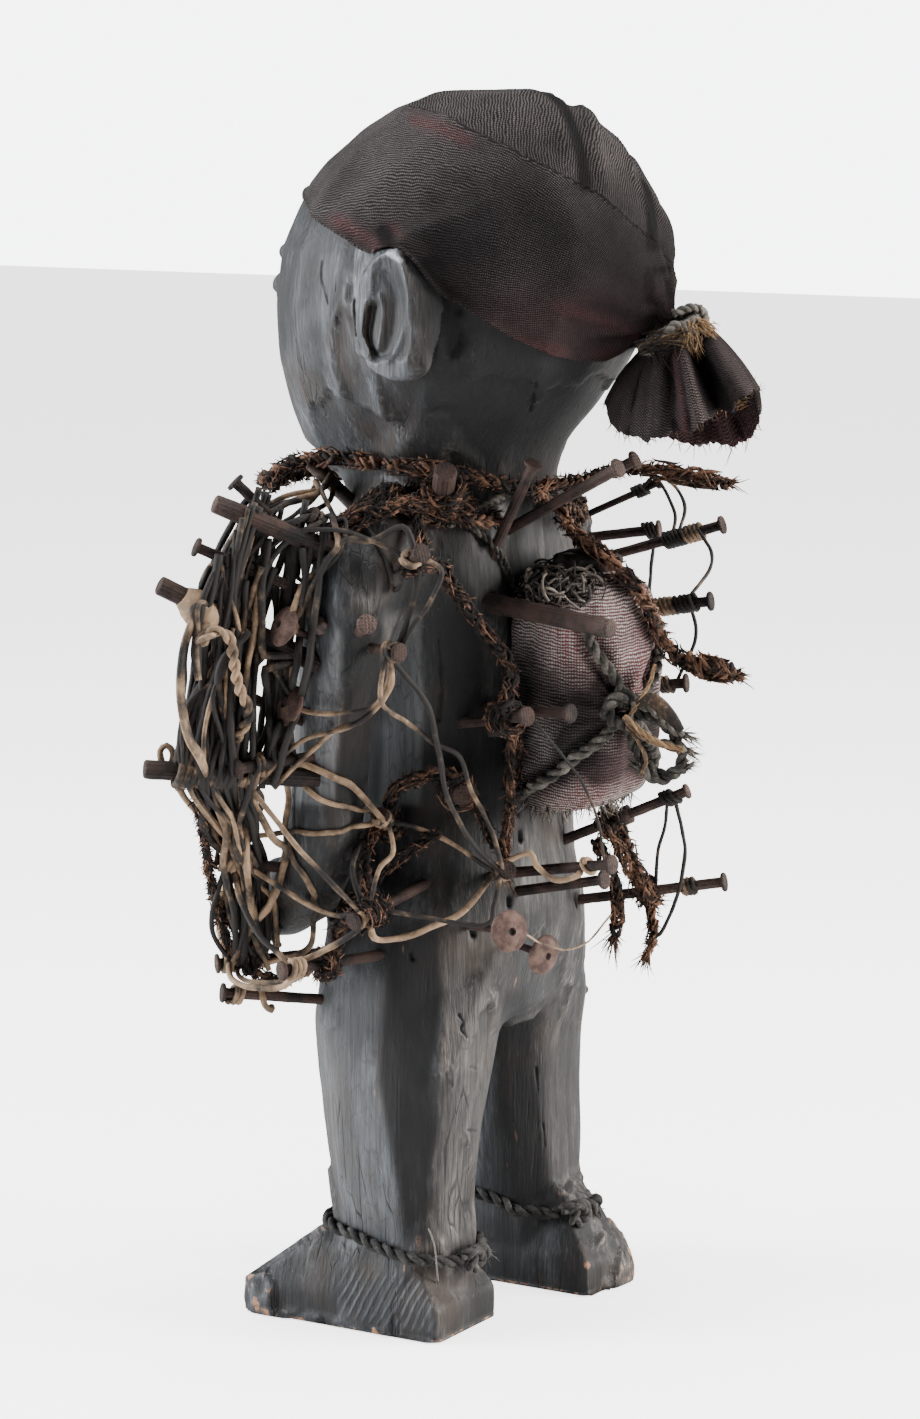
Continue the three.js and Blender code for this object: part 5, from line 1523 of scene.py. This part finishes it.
# Ankle ropes: two dark plies round each ankle, lower behind, the ends tucked under in a knot.
ANKLE_ROPE = 2.9 * MM
ankle_ropes = Skein()


def seated(points, off):
    """Each place moved out, where needed, to stand off the wood by a distance."""
    placed = []
    for point in points:
        hit, normal, *_ = wood_tree.find_nearest(Vector(point))
        above = (np.array(point) - np.array(hit)) @ np.array(normal)
        placed.append(np.array(hit) + np.array(normal) * off if above < off else np.array(point))
    return np.array(placed)


def resting(points, off):
    """Each place moved to stand off the wood by a distance."""
    found = [wood_tree.find_nearest(Vector(point)) for point in points]
    return np.array([np.array(hit) + np.array(normal) * off for hit, normal, *_ in found])


# The tucked end's way: along the rope, out from it and up, in millimetres.
TUCK = ((-9, 0, 2), (-3, 3, 4), (4, 3, 0), (2, 2, -5), (-4, 3, -3), (-3, 4, 3), (5, 2, 3), (12, 1, -1))
for side, knot_angle in (("left", 86), ("right", 70)):
    low_corner, high_corner = map(np.array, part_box(f"ankle_rope_{side}"))
    middle, half = (low_corner + high_corner) / 2, (high_corner - low_corner) / 2 - 3.2 * MM
    angle = np.radians(knot_angle) + np.linspace(0, 2 * np.pi, 60)
    ring = np.stack([half[0] * np.cos(angle), half[1] * np.sin(angle), -half[2] * np.sin(angle)], axis=1)
    ring[:, 2] += 1.2 * MM * noise(ring * (1, 1, 0), 22 * MM, 5, 1)
    path = curve(resting((middle + ring)[::2], ANKLE_ROPE * 0.9), 260)
    rope(ankle_ropes, path, ANKLE_ROPE, 14 * MM, 0.25)
    fuzz(ankle_ropes, path, 2.5 * MM, 5 * MM, 0.5, off=ANKLE_ROPE * 0.6)
    out = np.array((np.cos(angle[0]), np.sin(angle[0]), 0))
    tangent = np.array((-out[1], out[0], 0))
    loop = path[0] + out * 1.5 * MM + np.array([tangent * a + out * b + (0, 0, c) for a, b, c in TUCK]) * MM
    path = curve(loop, 80)
    rope(ankle_ropes, path, ANKLE_ROPE, 12 * MM, 0.25)
    fray(ankle_ropes, path[-1], path[-1] - path[-5], 24, 6 * MM, 0.35, 0.3)
dark_rope = fibre("dark_rope", (0.014, 0.013, 0.013, 1), (0.1, 0.095, 0.088, 1), (0.22, 0.2, 0.17, 1), 700)
STRAW = ((428, 1228, 1), (432, 1243, 5.5), (434, 1262, 6), (437, 1282, 1))
straw = [seen(wood_tree, u, v, off * MM) for u, v, off in STRAW]
ankle_ropes.add(curve(straw, 20)[None], 0.45 * MM, 5, 1.4)
ankle_ropes.piece("ankle_ropes_laid", dark_rope, "fibre_rope", "ankle_rope_left", "ankle_rope_right")

# Bast ropes: strips of reddish bark plaited into coarse, hairy ropes, blackened with soot and resin in
# places. One goes round the neck; others are wound on the iron of the back, the hip and the right side.
BAST = 4.3 * MM
NET_BAST = 3.5 * MM
BAST_BLACK = (0.008, 0.006, 0.0055, 1)
BAST_RED = (0.165, 0.083, 0.051, 1)
BAST_PALE = (0.48, 0.3, 0.2, 1)


def wandering(path, scale, seed):
    """An uneven way aside at each place of a path."""
    return np.stack([noise(path, scale, seed + k, 2) for k in range(3)], axis=1)


def plait(skein, path, radius, pitch, tone):
    """Three strands that cross over each other: each swings across the path once in a pitch and in and
    out of it twice. A strand is two uneven strips, laid side by side and a little twisted."""
    across, up = sides_of(path)
    place = run_of(path)
    for strand in range(3):
        turn = 2 * np.pi * (place / pitch + strand / 3)
        swing = path + across * (0.6 * radius * np.sin(turn))[:, None]
        swing = swing + up * (0.36 * radius * np.sin(2 * turn))[:, None]
        wander = wandering(swing, 2.6 * MM, 40 + strand)
        strips = plied(swing + wander * 0.26 * radius, radius * 0.2, 2, pitch * 1.7, chance.random())
        girth = radius * 0.3 * (1 + 0.4 * noise(swing, 3 * MM, strand, 2))
        skein.add(strips, girth[None], 5, tone * 0.8 + 0.5 * (chance.random(2) - 0.5), 0.75)


def shreds(skein, path, radius, every, tone):
    """Short torn strips laid along and round a rope, whose ends stand off it."""
    across, up = sides_of(path)
    steps = 9
    count = max(int(length_of(path) / every), 3)
    start = chance.integers(0, max(len(path) - steps, 1), count)
    index = np.minimum(start[:, None] + np.arange(steps), len(path) - 1)
    t = np.linspace(-1, 1, steps)
    angle = chance.uniform(0, 6.3, (count, 1)) + chance.normal(size=(count, 1)) * 0.9 * t
    off = radius * (chance.uniform(0.65, 1.0, (count, 1)) + 0.4 * chance.random((count, 1)) * t**4)
    rows = path[index] + (off * np.cos(angle))[..., None] * across[index]
    rows = rows + (off * np.sin(angle))[..., None] * up[index]
    girth = radius * np.array((0.04, 0.1, 0.13, 0.15, 0.15, 0.15, 0.13, 0.1, 0.03))
    skein.add(rows, girth, 4, tone * 0.3 + 0.9 * chance.random(count) ** 1.6, 0.7)


def bast_rope(skein, points, radius, tone, step=1.5 * MM):
    """A plaited rope through the points, with its short stiff ends."""
    path = curve(points, 2 + int(length_of(curve(points, 60)) / step))
    plait(skein, path, radius, 15 * MM, tone)
    shreds(skein, path, radius, 2.0 * MM, tone)
    fuzz(skein, path, 0.5 * MM, 2.9 * MM, 1.0, 0.9, 0.5, radius * 0.75)
    return path


def coil(piece, out, turns, off, rise_by, steps=18, lean=0.0):
    """The places of a wrap round a driven piece: turns at a distance off its skin that climb along it.
    Lengths are in millimetres."""
    out, off, rise_by, lean = (length * MM for length in (out, off, rise_by, lean))
    angle = np.linspace(0, 2 * np.pi * turns, int(steps * turns)) + chance.uniform(0, 6)
    climb = np.linspace(-0.5, 0.5, len(angle)) * rise_by
    return np.array([
        piece.on(out + c + lean * np.sin(a), a, piece.girth + off) for a, c in zip(angle, climb)
    ])


bast_coat = fibre("bast_plait", BAST_BLACK, BAST_RED, BAST_PALE, 620, 0.9, (0.4, 0.95), 1.3)
neck_rope = Skein()
necklace = (
    (58, -22, 408), (60, -44, 410), (63, -62, 408), (66, -78, 400), (50, -88, 394), (28, -92, 396),
    (0, -92, 396),
    (-30, -86, 392), (-50, -66, 386), (-60, -40, 380), (-62, -14, 377), (-54, 12, 377), (-36, 30, 379),
    (-19, 40, 380), (3, 42, 388), (24, 37, 396), (44, 24, 402), (55, 3, 407), (58, -18, 408),
)
bast_rope(neck_rope, seated(at(necklace), BAST * 0.8), BAST, 0.7)
hanging = (
    (0, 42, 389), (8, 48, 381), (11, 60, 372), (14, 74, 366), (12, 90, 350), (2, 96, 330), (-5, 103, 318),
    (-8, 122, 314),
)
path = bast_rope(neck_rope, at(hanging), BAST, 0.8)
tip = curve([path[-1] + (path[-12] - path[-1]), path[-1], path[-1] + (path[-1] - path[-10]) * 0.6], 20)
plait(neck_rope, tip, BAST * 1.25, 11 * MM, 1.0)
shreds(neck_rope, tip, BAST * 1.35, 0.7 * MM, 1.4)
fray(neck_rope, tip[-1], tip[-1] - tip[-5], 60, 4 * MM, 0.6, 0.8, 0.5)
second = (
    (24, 38, 396), (8, 44, 398), (-6, 48, 398), (-26, 58, 402), (-34, 74, 402), (-38, 92, 399),
    (-40, 108, 397),
)
path = bast_rope(neck_rope, at(second), BAST * 0.85, 0.75)
shreds(neck_rope, path[-26:], BAST * 1.1, 0.8 * MM, 1.2)
fray(neck_rope, path[-1], path[-1] - path[-5], 30, 6 * MM, 0.4, 0.5, 0.4)
mass = ((100, -20, 380), (88, -4, 392), (76, 8, 393), (64, 14, 391), (54, 20, 388), (40, 34, 384))
for k in range(5):
    shift = chance.normal(size=(len(mass), 3)) * (2.4, 2.4, 3.2)
    run = resting(at(mass + shift), (2.6 + 2.2 * (k % 3)) * MM)
    bast_rope(neck_rope, run, BAST * 0.72, 0.45 + 0.12 * k)
shoulder = ((104, -30, 372), (96, -14, 384), (80, -4, 396), (66, 0, 402))
for k in range(3):
    shift = chance.normal(size=(len(shoulder), 3)) * 2.5
    run = resting(at(shoulder + shift), (3 + 2 * k) * MM)
    bast_rope(neck_rope, run, BAST * 0.6, 0.3 + 0.2 * k)
bolt = driven["bolt_neck_back_left"]
for out, thick in ((6, 0.7), (10, 0.6), (13, 0.55)):
    bast_rope(neck_rope, coil(bolt, out, 1.6, 2.6, 5), BAST * thick, 0.5)
TWIG = ((329, 474, 6), (338, 459, 11), (352, 440, 14))
twig = [seen(wood_tree, u, v, off * MM) for u, v, off in TWIG]
neck_rope.add(curve(twig, 12)[None], 1.3 * MM, 7, 0.75)
neck_rope.piece("bast_neck_plaited", bast_coat, "bast_rope", "bast_rope_neck")

back_rope = Skein()
# Short letters for the iron and the pegs that carry ropes and vines.
NAILS = {
    "A": "nail_shoulder_left_front", "B": "rod_shoulder_left", "C": "nail_upper_arm_left_front",
    "D": "bolt_upper_arm_left", "E": "peg_neck_left", "H": "nail_shoulder_left_top",
    "I": "nail_shoulder_left_back", "K": "tack_upper_arm_left_high", "L": "tack_upper_arm_left_low",
    "N": "nail_upper_arm_left_rear", "S": "rod_arm_left", "T": "nail_arm_left_low", "U": "nail_elbow_left",
    "V": "nail_hip_left_front_high", "W": "nail_hip_left_side", "X": "nail_hip_left_front_low",
    "Z": "nail_waist_left_side", "AA": "nail_waist_left_back", "AB": "nail_hip_left_back",
    "AC": "nail_back_left_middle", "AE": "nail_buttock_left", "AF": "nail_buttock_middle_high",
    "AG": "nail_buttock_right_long", "AH": "bolt_waist_back_right", "AJ": "nail_back_right_middle",
    "AK": "tack_buttock_left_high", "AN": "wire_shoulder_right_top", "AP": "nail_shoulder_right_back",
    "AQ": "nail_shoulder_right_long", "AR": "nail_back_right_high",
}
nail = {letter: driven[node] for letter, node in NAILS.items()}


def bast_run(skein, stops, off, thick, tone):
    """A thin rope over stops, which are places in millimetres from the figure's axis or, with a letter,
    on a driven piece: how far out, at which angle and how far off its axis. It stands off the wood."""
    run = [nail[stop[0]].spot(*stop[1:]) if isinstance(stop[0], str) else at(stop) for stop in stops]
    return bast_rope(skein, seated(run, off * MM), NET_BAST * thick, tone)


DOWN_BACK = (("I", 8, 1, 6), (78, 22, 366), (72, 26, 356), (60, 36, 334), (53, 46, 316), ("AC", 30, 0.5, 6))
bast_run(back_rope, DOWN_BACK, 4, 1, 0.5)
for out, turns in ((26, 2.2), (33, 1.6)):
    bast_rope(back_rope, coil(nail["AC"], out, turns, 3, 7), NET_BAST * 0.85, 0.35)
for k in range(2):
    run = (
        ("AC", 26 + 8 * k, 4.0, 6), (44 + 5 * k, 44, 284), (41 + 6 * k, 42, 268), (45 + 3 * k, 42, 252),
        (47, 40, 238), (46, 37, 222),
    )
    bast_run(back_rope, run, 3.6, 0.8, 0.35 + 0.3 * k)
fray(back_rope, at((46, 38, 221)), (0, 0.2, -1), 40, 8 * MM, 0.35, 0.4, 0.4)
for k in range(2):
    run = (("I", 7 + 5 * k, 2, 5), (84, 16 + 2 * k, 372), (78, 12, 380), (72, 6, 388))
    bast_run(back_rope, run, 3.5, 0.8, 0.4)
back_rope.piece("bast_back_plaited", bast_coat, "bast_rope", "bast_rope_back")

hip_rope = Skein()
# Each run: its stops, how thick and its tone.
HIP_RUNS = (
    (("Z", 8, 1, 5), (74, -4, 258), (70, 4, 264), (64, 14, 267), (57, 22, 262), ("AA", 8, 2, 6), 1.0, 0.45),
    (("Z", 9, 4, 5), (80, -12, 240), (86, -14, 224), ("AB", 27, 2, 5), 1.0, 0.5),
    (("AB", 30, 4, 5), (92, -22, 198), (92, -24, 188), ("W", 26, 2, 5), 1.0, 0.5),
    (("W", 28, 4, 5), (96, -44, 172), (88, -58, 166), ("V", 38, 2, 5), 0.9, 0.55),
    ((66, 16, 240), (73, -2, 228), (77, -14, 216), (78, -36, 196), 0.85, 0.15),
    (("AA", 10, 4, 5), (50, 30, 244), (48, 34, 232), 0.8, 0.3),
)
for *stops, thick, tone in HIP_RUNS:
    bast_run(hip_rope, stops, 3.4, thick, tone)
HIP_COILS = (
    ("AA", 8, 3.2, 0.95), ("AA", 13, 2.2, 0.7), ("AB", 27, 2.6, 0.8), ("AB", 33, 2, 0.6), ("Z", 9, 2, 0.6),
    ("W", 27, 2.8, 0.8), ("V", 38, 2, 0.6),
)
for letter, out, turns, thick in HIP_COILS:
    bast_rope(hip_rope, coil(nail[letter], out, turns, 3.2, 8), NET_BAST * thick, 0.4)

right_rope = Skein()
RIGHT_RUNS = (
    (("AH", 22, 1, 5), (-27, 54, 240), (-29, 64, 220), (-32, 72, 200), ("AG", 34, 2, 5), 1.0, 0.8),
    (("AH", 16, 1, 5), (-22, 58, 228), (-28, 66, 208), 0.85, 0.9),
    ((-20, 50, 226), (-22, 58, 208), (-24, 60, 192), (-24, 58, 180), 0.95, 0.6),
    (("AG", 30, 4, 5), (-34, 74, 184), (-33, 72, 172), 0.9, 1.0),
)
for *stops, thick, tone in RIGHT_RUNS:
    path = bast_run(right_rope, stops, 3.4, thick, tone)
    fray(right_rope, path[-1], path[-1] - path[-6], 40, 10 * MM, 0.35, 0.6, 0.4)
for letter, out, turns, thick in (("AH", 20, 2, 0.7), ("AG", 31, 2.6, 0.75)):
    bast_rope(right_rope, coil(nail[letter], out, turns, 3, 7), NET_BAST * thick, 0.4)
right_rope.piece("bast_right_plaited", bast_coat, "bast_rope", "bast_rope_right")

# Vines: dry creeper stems and split cane, black, grey and tan, strung from nail to nail down the left
# side and hooked, twisted or knotted where they cross. Thinner ones join the nails of the right side.
VINE_RADIUS = 1.35 * MM
vine_coat = fibre(
    "dry_vine", (0.012, 0.0098, 0.009, 1), (0.29, 0.192, 0.12, 1), (0.5, 0.35, 0.22, 1), 330, 0.72,
    (0.42, 1.02), 1.9
)


def threaded(stops, off=VINE_RADIUS):
    """The places of a strand: each stop is a piece of iron with how far out along it, or a place in the
    lens's frame. Such a place lies as deep as its share of the way between the iron before and after
    it, and never under the wood."""
    fixed = {}
    for k, stop in enumerate(stops):
        if isinstance(stop[0], str):
            piece = nail[stop[0]]
            fixed[k] = piece.on(stop[1] * MM, chance.uniform(0, 6), piece.girth + off)
    keys = sorted(fixed)
    places = []
    for k, stop in enumerate(stops):
        if k in fixed:
            places.append(fixed[k])
            continue
        before = max((key for key in keys if key < k), default=keys[0])
        after = min((key for key in keys if key > k), default=keys[-1])
        share = (k - before) / (after - before) if after > before else 0
        deep = [(fixed[key] - eye) @ view for key in (before, after)]
        depth = deep[0] + (deep[1] - deep[0]) * np.clip(share, 0, 1)
        way = ray(*stop[:2])
        places.append(eye + way * (depth / (way @ view)) - view * (stop[2] * MM if len(stop) > 2 else 0))
    return seated(places, off)


def vine(skein, points, radius, tone, wobble=0.35, tacks=""):
    """A stem through the points, a little bent, thicker at its joints, with its two cut ends. It passes
    behind the heads of the tacks that are named."""
    path = curve(points, 2 + int(length_of(curve(points, 40)) / (2.2 * MM)))
    seed = int(chance.integers(1000))
    path = path + wandering(path, 17 * MM, seed) * (wobble * 2.2 * MM)
    for letter in tacks:
        aside = path - nail[letter].spot(10, 0, 0)
        ahead = -(aside @ view)
        aside += ahead[:, None] * view
        past = np.maximum(ahead + 5 * MM, 0) * (1 - rise(np.linalg.norm(aside, axis=1), 6 * MM, 13 * MM))
        path = path + past[:, None] * view
    path = seated(path, radius * 0.9)
    girth = radius * (1 + 0.14 * noise(path, 7 * MM, seed, 2))
    skein.add(path[None], girth[None], 7, tone)


def strung(skein, strands):
    """Stems over their stops. After its stops, a strand has its radius in millimetres and its tone."""
    for *stops, radius, tone in strands:
        vine(skein, threaded(stops, radius * MM), radius * MM, tone)


def wraps(skein, coils, climb, uneven):
    """Stems wound on driven pieces: how far out, turns, radius and tone, climbing by so many radii."""
    for letter, out, turns, radius, tone in coils:
        path = coil(nail[letter], out, turns, radius, climb * radius * turns, 14, uneven)
        vine(skein, path, radius * MM, tone, 0.2)


left_vines = Skein()
# Strands across the arm, the waist and the hip.
CROSSING = (
    (("S", 44), (254, 758), (283, 758), (324, 771), (356, 790), ("Z", 20), 1.6, 0.95),
    (("S", 30), (289, 775), (324, 798), ("Z", 19), 1.3, 0.85),
    (("S", 38), (240, 778), (271, 814), (303, 853), (334, 886), (356, 908), ("AB", 35), 1.3, 0.75),
    (("S", 30), (275, 765), (287, 788), (301, 839), (313, 894), (313, 920), (305, 950), ("V", 40), 1.5, 0.85),
    (("U", 24), (240, 840), (283, 833), (340, 822), ("Z", 18), 1.3, 0.9),
    (("S", 26), (271, 835), (285, 849), (281, 875), (271, 904), (254, 926), ("V", 47), 1.9, 0.9),
    (("U", 22), (236, 863), (228, 885), (221, 905), (220, 930), ("V", 46), 2.2, 1.0),
    (("V", 47), (232, 980), (254, 988), (283, 986), ("W", 46), 1.5, 0.95),
    (("V", 40), (240, 975), (260, 982), (290, 980), ("W", 42), 1.2, 0.8),
    (("Z", 17), (410, 826), (438, 836), (464, 852), ("AE", 10), 1.2, 0.7),
    (("AB", 34), (376, 938), (407, 936), (438, 923), (464, 909), ("AE", 9), 1.5, 0.95),
    (("Z", 18), (393, 852), (378, 870), ("AB", 33), 1.2, 0.75),
    (("N", 8), (425, 701), (438, 748), (448, 799), (474, 844), ("AE", 12), 1.4, 0.35),
    (
        ("N", 9), (380, 699, 4), (405, 721), (431, 740), (458, 756), (470, 790), (491, 829), ("AE", 13), 1.2,
        0.5
    ),
    (("S", 12), (330, 735), (365, 718), (390, 690), ("N", 10), 1.3, 0.85),
    (("S", 20), (300, 742), (350, 728), (384, 700), ("N", 9), 1.1, 0.7),
    (("AE", 11), (530, 853), (538, 866), (556, 879), (575, 876), ("AF", 40), 1.4, 0.95),
    (("I", 13), (418, 575), (413, 600), (405, 625), ("N", 8), 1.5, 0.4),
    (("I", 14), (441, 570), (432, 600), (412, 628), ("N", 9), 1.3, 0.55),
    (("I", 12), (404, 527, 4), (370, 542, 4), (338, 548, 6), ("K", 10), 1.6, 0.3),
    (("K", 12), (300, 590), (318, 568), (338, 548, 6), (330, 515), ("H", 10), 1.5, 0.6),
    (("K", 9), (304, 596), (322, 574), (340, 552, 5), (345, 520), ("H", 9), 1.2, 0.45),
    (("I", 11), (395, 590, 2), (375, 560, 3), (352, 535), (322, 495), ("E", 12), 1.2, 0.45),
    (("C", 30), (240, 536), (262, 518), (292, 503), (318, 492), ("E", 14), 1.5, 0.45),
    (("C", 24), (250, 590), (268, 550), (300, 520), (330, 500), ("E", 10), 1.3, 0.6),
    (("B", 40), (238, 560), (246, 600), (262, 640), ("L", 8), 1.3, 0.35),
    (("K", 8), (285, 640), (290, 665), ("L", 7), 1.2, 0.75),
    (("L", 9), (310, 712), (345, 712), (380, 700), ("N", 7), 1.2, 0.7),
    (("L", 10), (285, 730), (272, 755), ("S", 26), 1.3, 0.5),
    (("Z", 16), (365, 840, 5), (352, 870, 5), ("AB", 30), 1.3, 0.2),
    (("AE", 12), (500, 880), (494, 905), (478, 925), ("AB", 31), 1.2, 0.3),
    (("U", 20), (250, 868), (300, 900), (340, 915), ("AB", 33), 1.3, 0.7),
    (("U", 18), (240, 900), (262, 940), ("W", 44), 1.5, 0.35),
    (("S", 20), (262, 800), (252, 830), ("U", 16), 1.5, 0.3),
    (("W", 40), (318, 955), (345, 940), ("AB", 34), 1.5, 0.5),
)
strung(left_vines, CROSSING)
LEFT_COILS = (
    ("N", 9, 2.4, 1.3, 0.8), ("Z", 18, 3, 1.3, 0.95), ("AB", 34, 2.6, 1.3, 0.9), ("AE", 10, 2.2, 1.2, 0.8),
    ("W", 44, 3, 1.4, 0.85),
    ("V", 45, 3, 1.5, 0.85), ("U", 21, 3, 1.6, 0.9), ("S", 22, 3, 1.6, 0.85), ("S", 30, 2.4, 1.4, 0.6),
    ("I", 12, 2, 1.3, 0.8),
    ("T", 24, 1.6, 1.2, 0.7), ("H", 10, 2, 1.3, 0.7), ("AF", 42, 1.6, 1.1, 0.9), ("X", 46, 2.4, 1.4, 0.6),
    ("K", 9, 1.4, 1.2, 0.8),
)
wraps(left_vines, LEFT_COILS, 1.8, 1.5)

# The thick bundle of stems that hangs from the shoulder's iron to the rod and on to the hip's nails.
TOPS = (("C", 36, 50), ("D", 24, 40), ("B", 30, 46), ("C", 20, 40), ("A", 26, 40))
for k in range(54):
    letter, near, far = TOPS[k % len(TOPS)]
    top = nail[letter].spot(chance.uniform(near, far), chance.uniform(0, 6), 7)
    middle = nail["S"].spot(chance.uniform(22, 56), chance.uniform(0, 6), chance.uniform(5, 8))
    elbow = nail["U"].spot(chance.uniform(4, 24), chance.uniform(0, 6), chance.uniform(3, 8))
    hip = nail["V"].spot(chance.uniform(20, 46), chance.uniform(0, 6), chance.uniform(3, 7))
    outward = (top + middle) / 2 - AXIS
    outward[2] = 0
    outward /= np.linalg.norm(outward)
    bulge = [
        top * (1 - t) + middle * t + outward * chance.uniform(-3, 7) * MM + chance.normal(size=3) * 2.2 * MM
        for t in (0.3, 0.66)
    ]
    points = [top, *bulge, middle]
    if k % 5 != 4:
        lower = (middle + elbow) / 2 + chance.normal(size=3) * 4 * MM
        points += [lower, elbow]
    if k % 5 in (0, 2):
        points += [(elbow + hip) / 2 + chance.normal(size=3) * 4 * MM, hip]
    radius, tone = chance.uniform(0.9, 2.0), chance.choice((0.0, 0.05, 0.1, 0.2, 0.35, 0.7))
    vine(left_vines, seated(points, radius * MM), radius * MM, tone, tacks="KL")
for k in range(18):
    top = nail["CBADH"[k % 5]].spot(chance.uniform(6, 26), chance.uniform(0, 6), 5)
    foot = nail["S"].spot(chance.uniform(2, 22), chance.uniform(0, 6), 6)
    halfway = (top + foot) / 2 + chance.normal(size=3) * 6 * MM
    points = seated((top, halfway, foot), 3 * MM)
    vine(left_vines, points, chance.uniform(1.0, 1.9) * MM, chance.choice((0.0, 0.1, 0.3)), tacks="KL")
# Stems that arch from the shoulder's iron over the top of the bundle and down its outer side.
ARCHES = (
    (
        ("E", 12), (305, 500, 6), (262, 512, 8), (228, 548, 8), (209, 600, 8), (205, 660, 6), ("S", 48), 1.6,
        0.35
    ),
    (("H", 12), (300, 520, 8), (262, 540, 10), (236, 580, 10), (222, 640, 10), ("S", 40), 1.4, 0.15),
    (("H", 10), (318, 525, 6), (282, 548, 10), (262, 590, 12), (252, 650, 12), ("S", 32), 1.5, 0.5),
    (
        ("E", 10), (322, 490, 6), (280, 498, 8), (245, 526, 10), (222, 570, 10), (212, 640, 8), ("S", 50),
        1.3, 0.6
    ),
    (
        ("I", 10), (370, 540, 6), (330, 530, 8), (290, 535, 10), (256, 565, 12), (240, 620, 12), ("S", 36),
        1.2, 0.3
    ),
    (("A", 24), (250, 500, 6), (225, 540, 8), (205, 590, 8), (198, 650, 8), ("S", 54), 1.5, 0.1),
    (("E", 11), (300, 512, 8), (250, 545, 8), (216, 562, 8), (200, 590, 6), ("D", 46), 1.3, 0.45),
)
strung(left_vines, ARCHES)
STRIP = (("D", 54), (192, 628, 12), (185, 655, 14), (183, 695, 15), (190, 735, 15), (202, 757, 14), ("S", 44))
girth = 3.1 * MM * (0.75 + 0.35 * np.sin(np.linspace(0.3, 3.0, 60)))
left_vines.add(curve(threaded(STRIP), 60)[None], girth, 12, 0.66, 0.55)
# A pale leaf sheath wrapped round the rusty bolt.
SHEATH = ((41, -1), (46, -2), (51, -3), (57, -1), (62, 0))
sheath = curve([nail["D"].spot(out, 0, 0) + np.array((0, 0, sag)) * MM for out, sag in SHEATH], 30)
plump = np.interp(np.linspace(0, 1, 30), (0, 0.12, 0.45, 0.75, 1), (4.6, 7.0, 9.0, 8.0, 5.0)) * MM
left_vines.add(sheath[None], plump * (1 + 0.1 * noise(sheath, 4 * MM, 7, 2)), 18, 1.12)
for k in range(3):
    crease = (
        ("D", 44 + 5 * k), (196 + 4 * k, 608, 14), (198 + k, 630, 14), (196 + 2 * k, 655, 14), (200, 680, 12),
    )
    left_vines.add(curve(threaded(crease), 40)[None], 1.6 * MM, 8, (0.5, 0.7, 0.3)[k])
LOOP = (
    ("D", 48), (203, 643, 16), (217, 632, 18), (231, 638, 18), (235, 656, 17), (238, 676, 16), (243, 694, 15),
    (250, 716, 12), ("S", 36),
)
for ply in plied(curve(threaded(LOOP), 90), 1.3 * MM, 2, 13 * MM):
    left_vines.add(ply[None], 1.5 * MM, 8, 0.66)
hook = threaded((("S", 62), (160, 752), (167, 745), (173, 754), (172, 771), (180, 790), ("S", 50)))
vine(left_vines, hook, 1.7 * MM, 0.85, 0.2)
for out, turns, tone in ((42, 4, 0.5), (48, 3, 0.75), (35, 3.4, 0.35), (54, 2.4, 0.6)):
    vine(left_vines, coil(nail["S"], out, turns, 1.8, 9, 14, 2), 1.9 * MM, tone, 0.3)
tail_end = nail["V"].spot(34, 2, 9)
drop = tail_end + np.array([(0, 0, -2), (1, 3, -7), (3, 6, -12), (2, 9, -14), (-1, 7, -13)]) * MM
vine(left_vines, drop, 1.5 * MM, 0.95, 0.2)
# The hip's bast rope ends in three thin runs beside these stems, so it is closed here.
for k in range(3):
    run = (
        ("S", 48 + 4 * k), (195 + 3 * k, 792, 4), (203 + 2 * k, 832, 6), (209, 864, 6), (216 + 2 * k, 912),
        ("V", 44),
    )
    bast_rope(hip_rope, threaded(run), NET_BAST * 0.55, 0.3 + 0.2 * k)
hip_rope.piece("bast_hip_plaited", bast_coat, "bast_rope", "bast_rope_hip")
left_vines.piece("vines_left_side", vine_coat, "vine", "vine_net_left", "vine_net_front")

right_vines = Skein()
FAR_SIDE = (
    (("AQ", 56), (712, 560), ("AR", 60), 0.9, 0.3),
    (("AR", 58), (696, 640), ("AJ", 50), 0.9, 0.3),
    (("AN", 30), (668, 480), (684, 505), ("AQ", 44), 0.9, 0.5),
    (("AN", 26), (655, 478), (675, 512), ("AQ", 40), 0.9, 0.2),
    (("AH", 52), (664, 830), (656, 870), ("AG", 34), 0.9, 0.15),
    (("AH", 54), (684, 840), (681, 875), (670, 915), (655, 935), ("AG", 30), 1.0, 0.15),
    (("AC", 44), (580, 780), (600, 825), ("AF", 50), 0.7, 0.4),
    (("AK", 36), (560, 950), (588, 940), ("AG", 20), 0.5, 0.8),
    (("AP", 30), (650, 600), ("AJ", 40), 0.9, 0.2),
)
strung(right_vines, FAR_SIDE)
RIGHT_COILS = (
    ("AQ", 44, 5, 1.1, 0.3), ("AQ", 54, 4, 1.2, 0.75), ("AR", 48, 4, 1.2, 0.6), ("AR", 58, 4, 1.2, 0.3),
    ("AJ", 46, 3, 1.1, 0.4),
    ("AH", 53, 3, 1.1, 0.3), ("AG", 52, 3, 1.1, 0.4), ("AN", 27, 3, 1.0, 0.5), ("AP", 28, 3, 1.1, 0.4),
)
wraps(right_vines, RIGHT_COILS, 1.9, 1)
right_vines.piece("vines_right_side", vine_coat, "vine", "vine_net_right")
